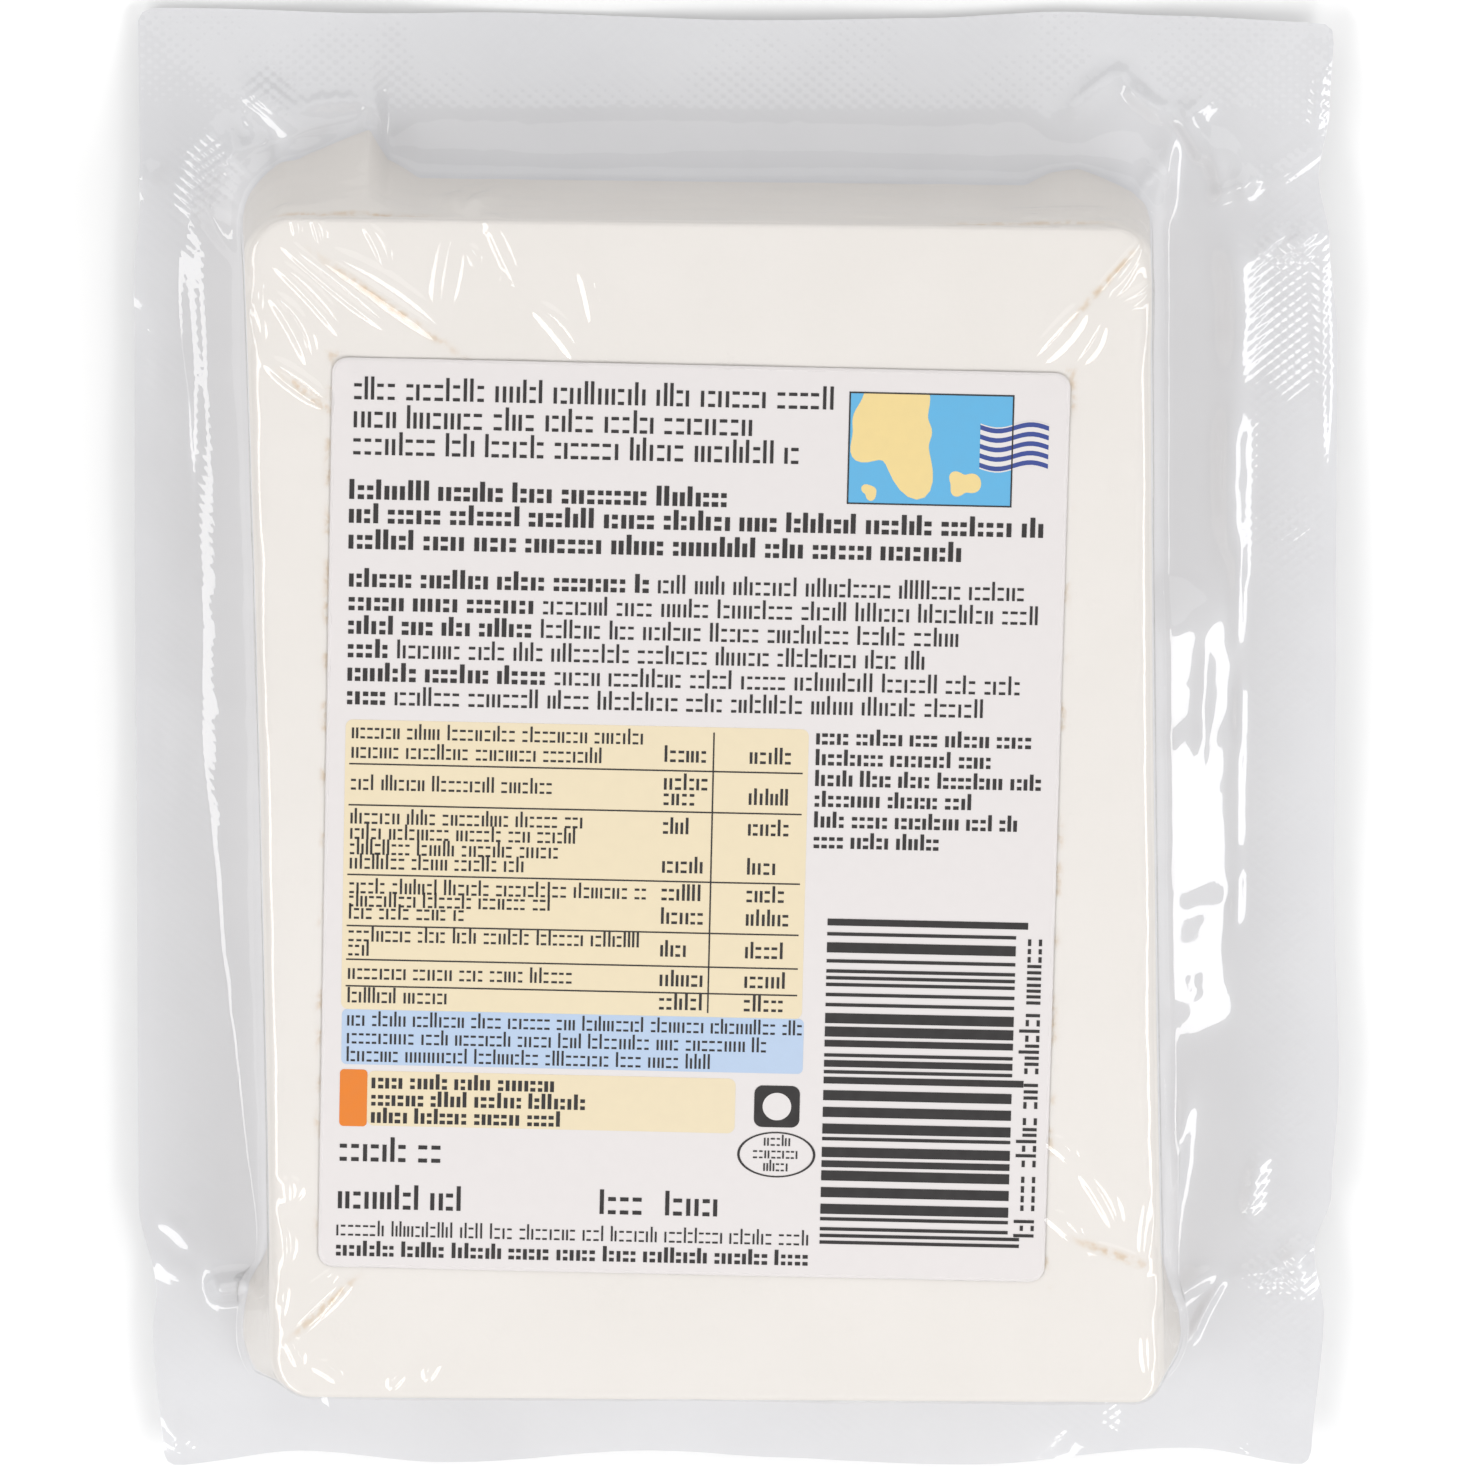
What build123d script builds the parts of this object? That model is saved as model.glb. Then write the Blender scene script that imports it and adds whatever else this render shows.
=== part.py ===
"""A vacuum pack of feta: the block of cheese, the clear film drawn over it, the white
backing film that the clear one is sealed to all round, and a paper label on the clear side.

The pack lies with its label up. Millimetres, +Z up, +Y towards the label's top edge.
The origin is under the middle of the pack, on the surface that it rests on.
"""

import os

from build123d import *

# The block of cheese, as cut, and a little out of square.
block_width = 85.0
block_length = 114.8
block_height = 19.7
block_lean = 2.2  # how far the top end stands to the left of the bottom end
block_skew = 0.7  # how far the right side stands below the left side
block_taper = 0.7  # how much narrower the top end is than the bottom end
side_bow = 0.3  # how far the middle of each long side stands in
top_left_radius = 4.5
top_right_radius = 3.5
bottom_left_radius = 4.0
bottom_right_radius = 3.0
edge_radius = 1.6  # round the upper and lower faces

# The flange, where the two films are sealed together all round the block.
left_margin = 11.7
right_margin = 17.5
top_margin = 16.3
bottom_margin = 10.9
seam_height = 4.0  # over the surface that the pack rests on
top_draw_in = 1.0  # how much nearer the middle each side edge is at the pack's top end
bottom_draw_in = 1.9  # and at its bottom end
waist_depth = 1.4  # how far the vacuum draws each side edge in at its two waists
waist_half_length = 8.0
top_waist_inset = 0.0  # of the upper waists, from the block's top end
bottom_waist_inset = 9.0  # of the lower waists, from the block's bottom end
pack_corner_radius = 1.2

# The films.
clear_film = 0.15
backing_film = 0.12
foot_radius = 3.5  # of the clear film's sweep from the block's side into the flange
pan_radius = 1.2  # of the backing film's turn from the flange down the block's side

# The label, a little askew on the middle of the face.
label_side_margin = 8.25
label_end_margin = 13.25
label_thickness = 0.1
label_corner_radius = 1.3
label_shift_x = -1.4
label_shift_y = -0.5
label_turn = -1.3  # degrees

# Worked out from the sizes above.
pack_width = left_margin + block_width + right_margin
pack_length = bottom_margin + block_length + top_margin
block_x = (left_margin - right_margin) / 2
block_y = (bottom_margin - top_margin) / 2
block_bottom = backing_film
block_top = block_bottom + block_height
film_top = block_top + clear_film
label_width = block_width - 2 * label_side_margin
label_length = block_length - 2 * label_end_margin


def block_corner(side, end):
    """A corner of the block seen from above, before it is rounded. Side -1 is left, end 1 is top."""
    half_width = block_width / 2 - end * block_taper / 4
    x = block_x - end * block_lean / 2 + side * half_width
    y = block_y - side * block_skew / 2 + end * block_length / 2
    return Vector(x, y)


def block_outline(grown=0.0):
    """The block seen from above, as a sketch on XY, its long sides drawn in a little."""
    radii = {
        (-1, 1): top_left_radius,
        (1, 1): top_right_radius,
        (-1, -1): bottom_left_radius,
        (1, -1): bottom_right_radius,
    }
    with BuildSketch() as outline:
        with BuildLine():
            for side in (-1, 1):
                top, bottom = block_corner(side, 1), block_corner(side, -1)
                middle = (top + bottom) / 2 - Vector(side * side_bow, 0)
                ThreePointArc(bottom, middle, top)
            for end in (-1, 1):
                Line(block_corner(-1, end), block_corner(1, end))
        make_face()
        for (side, end), radius in radii.items():
            corner = outline.vertices().sort_by_distance(block_corner(side, end))[0]
            fillet(corner, radius)
        if grown:
            offset(amount=grown)
    return outline.sketch


def flange_outline():
    """The films' cut edge, as a sketch on XY: long sides with two shallow waists, drawn in at the ends."""
    half_width = pack_width / 2
    half_length = pack_length / 2
    block_end = block_length / 2
    waists = [
        (block_y - block_end + bottom_waist_inset, bottom_draw_in),
        (block_y + block_end - top_waist_inset, top_draw_in),
    ]
    with BuildSketch() as outline:
        with BuildLine():
            for side in (-1, 1):
                edge = side * half_width
                for (waist, draw_in), end in zip(waists, (-1, 1)):
                    inner = (edge, waist - end * waist_half_length)
                    deepest = (edge - side * waist_depth, waist)
                    outer = (edge - side * draw_in / 2, waist + end * waist_half_length)
                    ThreePointArc(inner, deepest, outer)
                    Line(outer, (edge - side * draw_in, end * half_length))
                lower, upper = (waist for waist, _ in waists)
                Line((edge, lower + waist_half_length), (edge, upper - waist_half_length))
            for end, draw_in in ((-1, bottom_draw_in), (1, top_draw_in)):
                half_end = half_width - draw_in
                Line((-half_end, end * half_length), (half_end, end * half_length))
        make_face()
        ends = outline.vertices().group_by(Axis.Y)
        fillet(ends[0] + ends[-1], pack_corner_radius)
    return outline.sketch


def block_form(grown, bottom, top, rounded_bottom=False):
    """The block's form grown outwards, from one height to another, rounded at its upper edge."""
    with BuildPart() as form:
        with BuildSketch(Plane.XY.offset(bottom)):
            add(block_outline(grown))
        extrude(amount=top - bottom)
        fillet(form.faces().sort_by(Axis.Z)[-1].edges(), edge_radius + grown)
        if rounded_bottom:
            fillet(form.faces().sort_by(Axis.Z)[0].edges(), edge_radius + grown)
    return form.part


def flange_plate(bottom, top):
    """A plate with the flange's outline, from one height to another."""
    with BuildPart() as plate:
        with BuildSketch(Plane.XY.offset(bottom)):
            add(flange_outline())
        extrude(amount=top - bottom)
    return plate.part


def edges_round_block(part, height):
    """The edges that the block's sides make with the flange's face at a height."""
    near = 0.01
    flange_face = part.faces().filter_by_position(Axis.Z, height - near, height + near)[0]
    return flange_face.inner_wires()[0].edges()


def make_cheese():
    """The block itself."""
    with BuildPart() as cheese:
        add(block_form(0.0, block_bottom, block_top, rounded_bottom=True))
    cheese.part.label = "cheese_block"
    return cheese.part


def make_clear_film():
    """The clear film: over the block, down its sides, and out over the flange."""
    below = 1.0  # how far the space under the film is cut past the seam, so that it opens
    with BuildPart() as space:
        add(flange_plate(seam_height - below, seam_height))
        add(block_form(0.0, seam_height - below, block_top))
        fillet(edges_round_block(space, seam_height), foot_radius + clear_film)
    with BuildPart() as film:
        add(flange_plate(seam_height, seam_height + clear_film))
        add(block_form(clear_film, seam_height, film_top))
        fillet(edges_round_block(film, seam_height + clear_film), foot_radius)
        add(space.part, mode=Mode.SUBTRACT)
    film.part.label = "clear_film"
    return film.part


def make_backing_film():
    """The backing film: under the block, a little way up its sides, and out under the flange."""
    with BuildPart() as pan:
        with BuildSketch():
            add(block_outline(backing_film))
        extrude(amount=seam_height)
        fillet(pan.faces().sort_by(Axis.Z)[0].edges(), edge_radius + backing_film)
        add(flange_plate(seam_height - backing_film, seam_height))
        fillet(edges_round_block(pan, seam_height - backing_film), pan_radius)
        add(block_form(0.0, block_bottom, block_top, rounded_bottom=True), mode=Mode.SUBTRACT)
    pan.part.label = "backing_film"
    return pan.part


def make_label():
    """The paper label on the clear film."""
    centre = (block_x + label_shift_x, block_y + label_shift_y, 0)
    with BuildPart() as label:
        with BuildSketch(Plane.XY.offset(film_top)):
            with Locations(Location(centre, (0, 0, label_turn))):
                RectangleRounded(label_width, label_length, label_corner_radius)
        extrude(amount=label_thickness)
    label.part.label = "label"
    return label.part


os.makedirs("parts", exist_ok=True)
for piece in (make_cheese(), make_clear_film(), make_backing_film(), make_label()):
    export_step(piece, f"parts/{piece.label}.step")
    print(piece.label, round(piece.volume / 1000, 2), "cm3", piece.bounding_box().size)
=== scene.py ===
# %% [markdown]
# # A vacuum pack of feta
#
# The real thing is a block of white cheese between two plastic films. The lower film is white.
# The upper one is clear, and the air between them was pumped out before they were sealed together
# all round, so the clear film grips the block and folds at its corners. A paper label lies on top.
#
# The solids that carry the weight and the sizes are loaded as a fixed frame. Every size below that
# the frame knows is read from it, and everything that it doesn't know is named in millimetres.

import math

import bpy
import numpy as np
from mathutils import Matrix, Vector


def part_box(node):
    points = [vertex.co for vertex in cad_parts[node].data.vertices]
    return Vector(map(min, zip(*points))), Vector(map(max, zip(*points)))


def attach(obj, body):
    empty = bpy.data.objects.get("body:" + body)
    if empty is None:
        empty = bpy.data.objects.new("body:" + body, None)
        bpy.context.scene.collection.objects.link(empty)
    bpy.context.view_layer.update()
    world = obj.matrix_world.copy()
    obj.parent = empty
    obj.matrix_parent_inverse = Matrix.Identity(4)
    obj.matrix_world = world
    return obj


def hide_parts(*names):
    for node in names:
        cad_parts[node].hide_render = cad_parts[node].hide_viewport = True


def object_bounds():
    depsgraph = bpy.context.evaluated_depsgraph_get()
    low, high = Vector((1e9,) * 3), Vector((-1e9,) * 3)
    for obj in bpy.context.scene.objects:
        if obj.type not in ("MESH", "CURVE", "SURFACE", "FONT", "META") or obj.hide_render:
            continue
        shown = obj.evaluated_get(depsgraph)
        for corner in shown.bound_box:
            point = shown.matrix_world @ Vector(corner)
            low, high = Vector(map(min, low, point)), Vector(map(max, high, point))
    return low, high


MM = 0.001
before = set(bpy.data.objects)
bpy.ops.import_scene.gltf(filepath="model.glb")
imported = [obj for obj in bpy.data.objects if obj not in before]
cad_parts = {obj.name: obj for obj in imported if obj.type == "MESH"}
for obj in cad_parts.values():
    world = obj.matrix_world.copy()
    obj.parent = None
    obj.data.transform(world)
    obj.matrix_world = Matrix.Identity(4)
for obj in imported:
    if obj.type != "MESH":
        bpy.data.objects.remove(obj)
cad_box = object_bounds()
print("frame in mm:", [round((high - low) / MM, 2) for low, high in zip(*cad_box)])

# %% [markdown]
# ## The camera
#
# A long lens from well away keeps the pack's edges almost parallel, as in a catalogue picture. An
# orthographic camera would keep them quite parallel, and would take the last hint of depth away.
# The camera leans a little towards the label's top edge, so one side wall of the block shows.

# %% Place the camera
CAMERA_TARGET = Vector((0, 3.1, 12))
CAMERA_DISTANCE = 1.35
CAMERA_LEAN = math.radians(15)
CAMERA_LENS = 349

camera = bpy.data.objects.new("camera", bpy.data.cameras.new("camera"))
camera.data.lens = CAMERA_LENS
look_from = Vector((0, math.sin(CAMERA_LEAN), math.cos(CAMERA_LEAN)))
camera.location = CAMERA_TARGET * MM + CAMERA_DISTANCE * look_from
camera.rotation_euler = (-CAMERA_LEAN, 0, 0)
bpy.context.scene.collection.objects.link(camera)
bpy.context.scene.camera = camera
print("camera at", [round(value, 3) for value in camera.location])

# %% [markdown]
# ## Helpers for meshes
#
# Film, cheese and paper are all sheets that follow the block's outline, so each one is a grid of
# points: one row after another, from the middle of the face outwards, with every row going once
# round the block. Joining neighbouring rows gives quads that flow round the corners, which a
# plain square grid would cut across in steps.


# %% Mesh helpers
def add_mesh(name, points, faces):
    """A smooth-shaded mesh object from points in millimetres."""
    mesh = bpy.data.meshes.new(name)
    mesh.from_pydata((np.asarray(points) * MM).tolist(), [], faces)
    mesh.shade_smooth()
    piece = bpy.data.objects.new(name, mesh)
    bpy.context.scene.collection.objects.link(piece)
    print(name, len(mesh.vertices), "points", len(mesh.polygons), "faces")
    return piece


def ring_faces(rows, count):
    """Quads between neighbouring rows of points, each row closed on itself."""
    row, column = np.meshgrid(np.arange(rows - 1), np.arange(count), indexing="ij")
    here = row * count + column
    beside = row * count + (column + 1) % count
    return np.stack([here, here + count, beside + count, beside], -1).reshape(-1, 4).tolist()


def smooth_step(low, high, value):
    """0 below low, 1 above high, and an S between them."""
    t = np.clip((value - low) / (high - low), 0, 1)
    return t * t * (3 - 2 * t)


NOISE_SIZE = 64  # after so many units the noise repeats


def noise(x, y, seed):
    """Smooth random values from -1 to 1 that change over about one unit of x or y."""
    table = np.random.default_rng(seed).uniform(-1, 1, (NOISE_SIZE, NOISE_SIZE))
    column, row = np.floor(x).astype(int), np.floor(y).astype(int)
    u, v = x - column, y - row
    u, v = u * u * (3 - 2 * u), v * v * (3 - 2 * v)
    left, right = column % NOISE_SIZE, (column + 1) % NOISE_SIZE
    low, high = row % NOISE_SIZE, (row + 1) % NOISE_SIZE
    near = table[low, left] * (1 - u) + table[low, right] * u
    far = table[high, left] * (1 - u) + table[high, right] * u
    return near * (1 - v) + far * v


spread = noise(np.arange(1000) / 7, np.zeros(1000), 1)
print("noise runs from", spread.min().round(2), "to", spread.max().round(2))

# %% [markdown]
# ## The block's outline
#
# The block was cut by wire and squeezed by the film, so it is a little out of square. Its corners
# are found on the frame's own cheese, and one closed row of points is laid round it. The points
# stand closer together near the corners, because that is where the film wrinkles most. A bevelled
# box would be quicker, but its four corners would be alike and square.

# %% Find the block's corners
block_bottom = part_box("cheese_block")[0].z / MM
seam_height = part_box("clear_film")[0].z / MM
film_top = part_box("clear_film")[1].z / MM
pack_half_width = cad_box[1].x / MM
pack_half_length = cad_box[1].y / MM

CORNERS = ["bottom_left", "bottom_right", "top_right", "top_left"]
CORNER_SIGNS = {
    "bottom_left": (-1, -1), "bottom_right": (1, -1), "top_right": (1, 1), "top_left": (-1, 1),
}
CORNER_RADII = {"bottom_left": 4.0, "bottom_right": 3.0, "top_right": 3.5, "top_left": 4.5}
SIDE_BOW = {"bottom_right": 0.3, "top_left": 0.3}

frame_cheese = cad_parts["cheese_block"].data.vertices
frame_outline = np.array([vertex.co[:2] for vertex in frame_cheese]) / MM


def sharp_corner(name):
    """Where the block's sides would meet if the corner weren't rounded."""
    signs = np.array(CORNER_SIGNS[name])
    outermost = frame_outline[(frame_outline @ signs).argmax()]
    return outermost + CORNER_RADII[name] * (1 - math.sqrt(0.5)) * signs


block_corner = {name: sharp_corner(name) for name in CORNERS}
print({name: point.round(1).tolist() for name, point in block_corner.items()})


# %% Walk round the block
def eased(count):
    """Values from 0 towards 1, closer together at both ends."""
    t = np.arange(count) / count
    return 0.45 * t + 0.55 * (1 - np.cos(np.pi * t)) / 2


def onto_pack_side(point, name):
    """The point of the pack's cut edge straight out from a point on the side after a corner."""
    x, y = point
    return {
        "bottom_left": np.array([x, -pack_half_length]),
        "bottom_right": np.array([pack_half_width, y]),
        "top_right": np.array([x, pack_half_length]),
        "top_left": np.array([-pack_half_width, y]),
    }[name]


def corner_tangents(index):
    """A corner's arc: where it starts, where it ends, and its middle."""
    corner = block_corner[CORNERS[index]]
    back = block_corner[CORNERS[index - 1]] - corner
    ahead = block_corner[CORNERS[(index + 1) % 4]] - corner
    back, ahead = back / np.linalg.norm(back), ahead / np.linalg.norm(ahead)
    half_angle = math.acos(np.clip(back @ ahead, -1, 1)) / 2
    radius = CORNER_RADII[CORNERS[index]]
    reach = radius / math.tan(half_angle)
    middle = (back + ahead) / np.linalg.norm(back + ahead) * radius / math.sin(half_angle)
    return corner + back * reach, corner + ahead * reach, corner + middle


print("the first corner's arc:", [place.round(1).tolist() for place in corner_tangents(0)])

# %% Lay a row of points round the block, and the matching row along the pack's cut edge
POINTS_PER_SIDE = 420
POINTS_PER_CORNER = 60

outline_parts, edge_parts = [], []
for index, name in enumerate(CORNERS):
    start, end, middle = corner_tangents(index)
    t = np.arange(POINTS_PER_CORNER)[:, None] / POINTS_PER_CORNER
    spoke = (1 - t) * (start - middle) + t * (end - middle)
    arc = middle + spoke / np.linalg.norm(spoke, axis=1)[:, None] * CORNER_RADII[name]
    pack_corner = np.array(CORNER_SIGNS[name]) * (pack_half_width, pack_half_length)
    before, after = onto_pack_side(start, CORNERS[index - 1]), onto_pack_side(end, name)
    run_before = np.linalg.norm(before - pack_corner)
    share = run_before / (run_before + np.linalg.norm(after - pack_corner))
    towards = before + (pack_corner - before) * np.minimum(t / share, 1)
    away = (after - pack_corner) * np.maximum((t - share) / (1 - share), 0)
    outline_parts.append(arc)
    edge_parts.append(towards + away)

    next_start = corner_tangents((index + 1) % 4)[0]
    t = eased(POINTS_PER_SIDE)[:, None]
    direction = (next_start - end) / np.linalg.norm(next_start - end)
    inward = np.array([-direction[1], direction[0]])
    side = end + (next_start - end) * t + inward * SIDE_BOW.get(name, 0) * 4 * t * (1 - t)
    far_end = onto_pack_side(next_start, name)
    outline_parts.append(side)
    edge_parts.append(after + (far_end - after) * t)

outline = np.concatenate(outline_parts)
pack_edge = np.concatenate(edge_parts)
tangent = np.roll(outline, -1, 0) - np.roll(outline, 1, 0)
tangent /= np.linalg.norm(tangent, axis=1)[:, None]
outward = np.stack([tangent[:, 1], -tangent[:, 0]], 1)
count = len(outline)
around = np.concatenate([[0], np.cumsum(np.linalg.norm(np.diff(outline, axis=0), axis=1))])
print(count, "points round the block, which measures", round(around[-1], 1), "mm")

# %% [markdown]
# ## The pack's cut edge
#
# The seal bars make a flat rectangular flange. Then the vacuum pulls it in beside each end of the
# block, and the free ends curl and wander. Each side gets a few places along it with how far the
# cut edge lies inside the rectangle there, and a smooth curve runs through them. Noise alone
# would wander too, but not where the folds beside the block pull.

# %% Draw the cut edge in
PACK_CORNER_RADIUS = 1.3
DRAW_IN = {  # place along the side, how far in
    "left": [(-71, 1.9), (-57.5, 0.9), (-53.5, 1.3), (-45, -0.3), (0, -0.1), (45, 0.2),
             (54, 0.9), (71, 0.8)],
    "right": [(-71, 1.8), (-56, 0.7), (-49.5, 1.7), (-44, 0.1), (-33, -0.5), (-12, 0.2),
              (40, 0.4), (50, 1.3), (56.5, 2.4), (63, 1.4), (71, 1.0)],
    "bottom": [(-57, -1.0), (-43, 0.4), (-30, -0.4), (-10, 0.5), (4, -0.2), (25, -0.7),
               (45.5, 0.7), (57, -0.7)],
    "top": [(-57, -0.1), (-28, 0.4), (2, 1.0), (18, 0.9), (31, 0.3), (42, 0.6), (57, 1.1)],
}


def smooth_curve(places, at):
    """The value of a curve that runs level through each of its places, for each number in at."""
    where, value = np.array(places, float).T
    after = np.clip(np.searchsorted(where, at), 1, len(where) - 1)
    share = smooth_step(where[after - 1], where[after], at)
    return value[after - 1] + (value[after] - value[after - 1]) * share


def draw_in(points):
    """Moves points of the cut edge to where the vacuum pulled them."""
    x, y = points.T
    side_in = np.where(x < 0, smooth_curve(DRAW_IN["left"], y), smooth_curve(DRAW_IN["right"], y))
    end_in = np.where(y < 0, smooth_curve(DRAW_IN["bottom"], x), smooth_curve(DRAW_IN["top"], x))
    return np.stack([x * (1 - side_in / pack_half_width), y * (1 - end_in / pack_half_length)], 1)


def round_pack_corners(points):
    """Rounds the rectangle's four corners."""
    inner = np.array([pack_half_width, pack_half_length]) - PACK_CORNER_RADIUS
    past = np.abs(points) - inner
    in_corner = (past > 0).all(1)
    reach = np.linalg.norm(past, axis=1)[:, None]
    rounded = np.sign(points) * (inner + past / np.maximum(reach, 1e-9) * PACK_CORNER_RADIUS)
    return np.where(in_corner[:, None], rounded, points)


pack_edge = draw_in(round_pack_corners(pack_edge))
print("cut edge from", pack_edge.min(0).round(1), "to", pack_edge.max(0).round(1))

# %% [markdown]
# ## How far the film bridges
#
# At the foot of the block the clear film can't follow the sharp turn on to the white film, so it
# bridges it in a sweep. The sweep is widest past the label's top end and narrowest on the right.
# At the corners the film had too much width to lose, and there it stands off the block in folds
# like the toe of a boot. A fold is a few places round the foot, each with how far the foot leans
# out there, so film, cheese and backing film all follow it and no gap opens between them.
#
# Much of the pack differs from side to side. One function blends four values round the corners.

# %% Values that change from side to side
SIDE_SIGNS = {"left": (-1, 0), "right": (1, 0), "top": (0, 1), "bottom": (0, -1)}


def facing_side(side):
    """How squarely each point of the outline faces one side: 1 along it, 0 along the next."""
    return np.maximum(outward @ SIDE_SIGNS[side], 0) ** 2


def by_side(values):
    """One value for each point of the outline, blended round the corners."""
    return sum(facing_side(side) * value for side, value in values.items())


EDGE_RADIUS = {"left": 1.5, "right": 1.5, "top": 0.45, "bottom": 0.7}
edge_radius = by_side(EDGE_RADIUS)
print("edge radius from", edge_radius.min().round(2), "to", edge_radius.max().round(2))

# %% List the folds at the block's foot
FOOT_FOLDS = [  # each anticlockwise round the block's foot: x, y, how far the foot leans out there
    [(35.5, -60.1, 0.0), (38.9, -59.2, 2.0), (39.7, -56.0, 1.6), (39.9, -52.8, 0.6),
     (39.9, -50.0, 0.0)],
    [(36.3, 54.5, 0.0), (32.0, 54.5, 1.1), (29.5, 54.5, 0.8), (27.0, 54.5, 0.0)],
    [(-30.0, 54.5, 0.0), (-32.8, 54.5, 1.2), (-34.6, 54.5, 4.2), (-36.0, 54.5, 3.6),
     (-39.0, 54.5, 2.3), (-42.4, 54.5, 1.1), (-45.0, 53.0, 0.5), (-45.6, 48.0, 0.0)],
    [(-44.8, -48.6, 0.0), (-44.7, -50.9, 0.9), (-44.6, -52.8, 2.2), (-44.4, -56.0, 2.7),
     (-43.4, -58.9, 3.8), (-42.0, -59.8, 2.0), (-39.6, -60.1, 0.0)],
]
fold_lean = np.zeros(count)
for fold in FOOT_FOLDS:
    places, leans = np.array(fold)[:, :2], np.array(fold)[:, 2]
    nearest = around[[np.linalg.norm(outline - place, axis=1).argmin() for place in places]]
    along, span = around - nearest[0], around[-1]
    steps = (nearest - nearest[0]) % span
    fold_lean += np.interp(along % span, steps, leans, left=0, right=0)
fold_share = np.minimum(fold_lean, 1)
print("the foot leans out by up to", fold_lean.max().round(1), "mm in its folds")

# %% Measure the sweep, which is tighter in a fold
FOOT_REACH = {"left": 5.0, "right": 1.7, "top": 5.8, "bottom": 3.6}
FOOT_RISE = {"left": 4.4, "right": 3.6, "top": 5.0, "bottom": 4.5}
LEFT_REACH = [(-47, 0.25), (-40, 0.4), (-20, 0.8), (0, 1.0), (50, 1.2)]  # place along it, share

foot_reach = by_side(FOOT_REACH) * (1 + 0.10 * noise(around / 14, around * 0, 3))
foot_rise = by_side(FOOT_RISE) * (1 + 0.12 * noise(around / 11, around * 0, 4))
on_left = facing_side("left")
left_share = np.interp(outline[:, 1], *np.array(LEFT_REACH).T)
foot_reach *= (1 + on_left * (left_share - 1)) * (1 - 0.6 * fold_share)
foot_rise *= (1 + on_left * (left_share**0.5 - 1)) * (1 - 0.5 * fold_share)
print("the sweep reaches out", foot_reach.min().round(1), "to", foot_reach.max().round(1), "mm")

# %% [markdown]
# ## Creases
#
# Each crease is a soft ridge along a slightly bent line. Film stands off the cheese only outwards,
# so ridges add and never dig in. A ridge about half as high as it is wide has flanks at the slope
# that mirrors a lamp beside the camera, which is what makes a crease show at all. A crease of the
# face parts into two crests in its middle, as a real one does where the film is pinched.
#
# A cloth simulation would make folds of its own, though not these, and a bump texture has no
# height, so it couldn't lift the film's outline at the block's edge. Ridges in a list can do both.


# %% One ridge
def ridge(points, start, end, height, width, bow=0.0, split=0.0):
    """How far a ridge from start to end lifts each point.

    bow is how far its middle swerves, and split how many widths apart its two crests lie there.
    """
    start, end = np.array(start, float), np.array(end, float)
    length = np.linalg.norm(end - start)
    unit = (end - start) / length
    relative = points - start
    t = relative @ unit / length
    offset = relative @ np.array([-unit[1], unit[0]]) - bow * 4 * t * (1 - t)
    ends = smooth_step(-0.06, 0.3, t) * smooth_step(1.06, 0.6, t)
    apart = offset - split * width * 4 * t * (1 - t)
    first, second = np.exp(-((offset / width) ** 2)), 0.9 * np.exp(-((apart / width) ** 2))
    return height * ends * np.maximum(first, second)


across_it = np.array([(0, 5), (0.25, 5), (0.5, 5)])
print("a ridge from its crest outwards:", ridge(across_it, (0, 0), (0, 10), 0.3, 0.5).round(2))

# %% [markdown]
# The creases of the face are listed from the block's corner that they spring from. They are
# placed on the film as if it were unrolled, so that one which reaches the block's edge runs on
# down the side.

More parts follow.
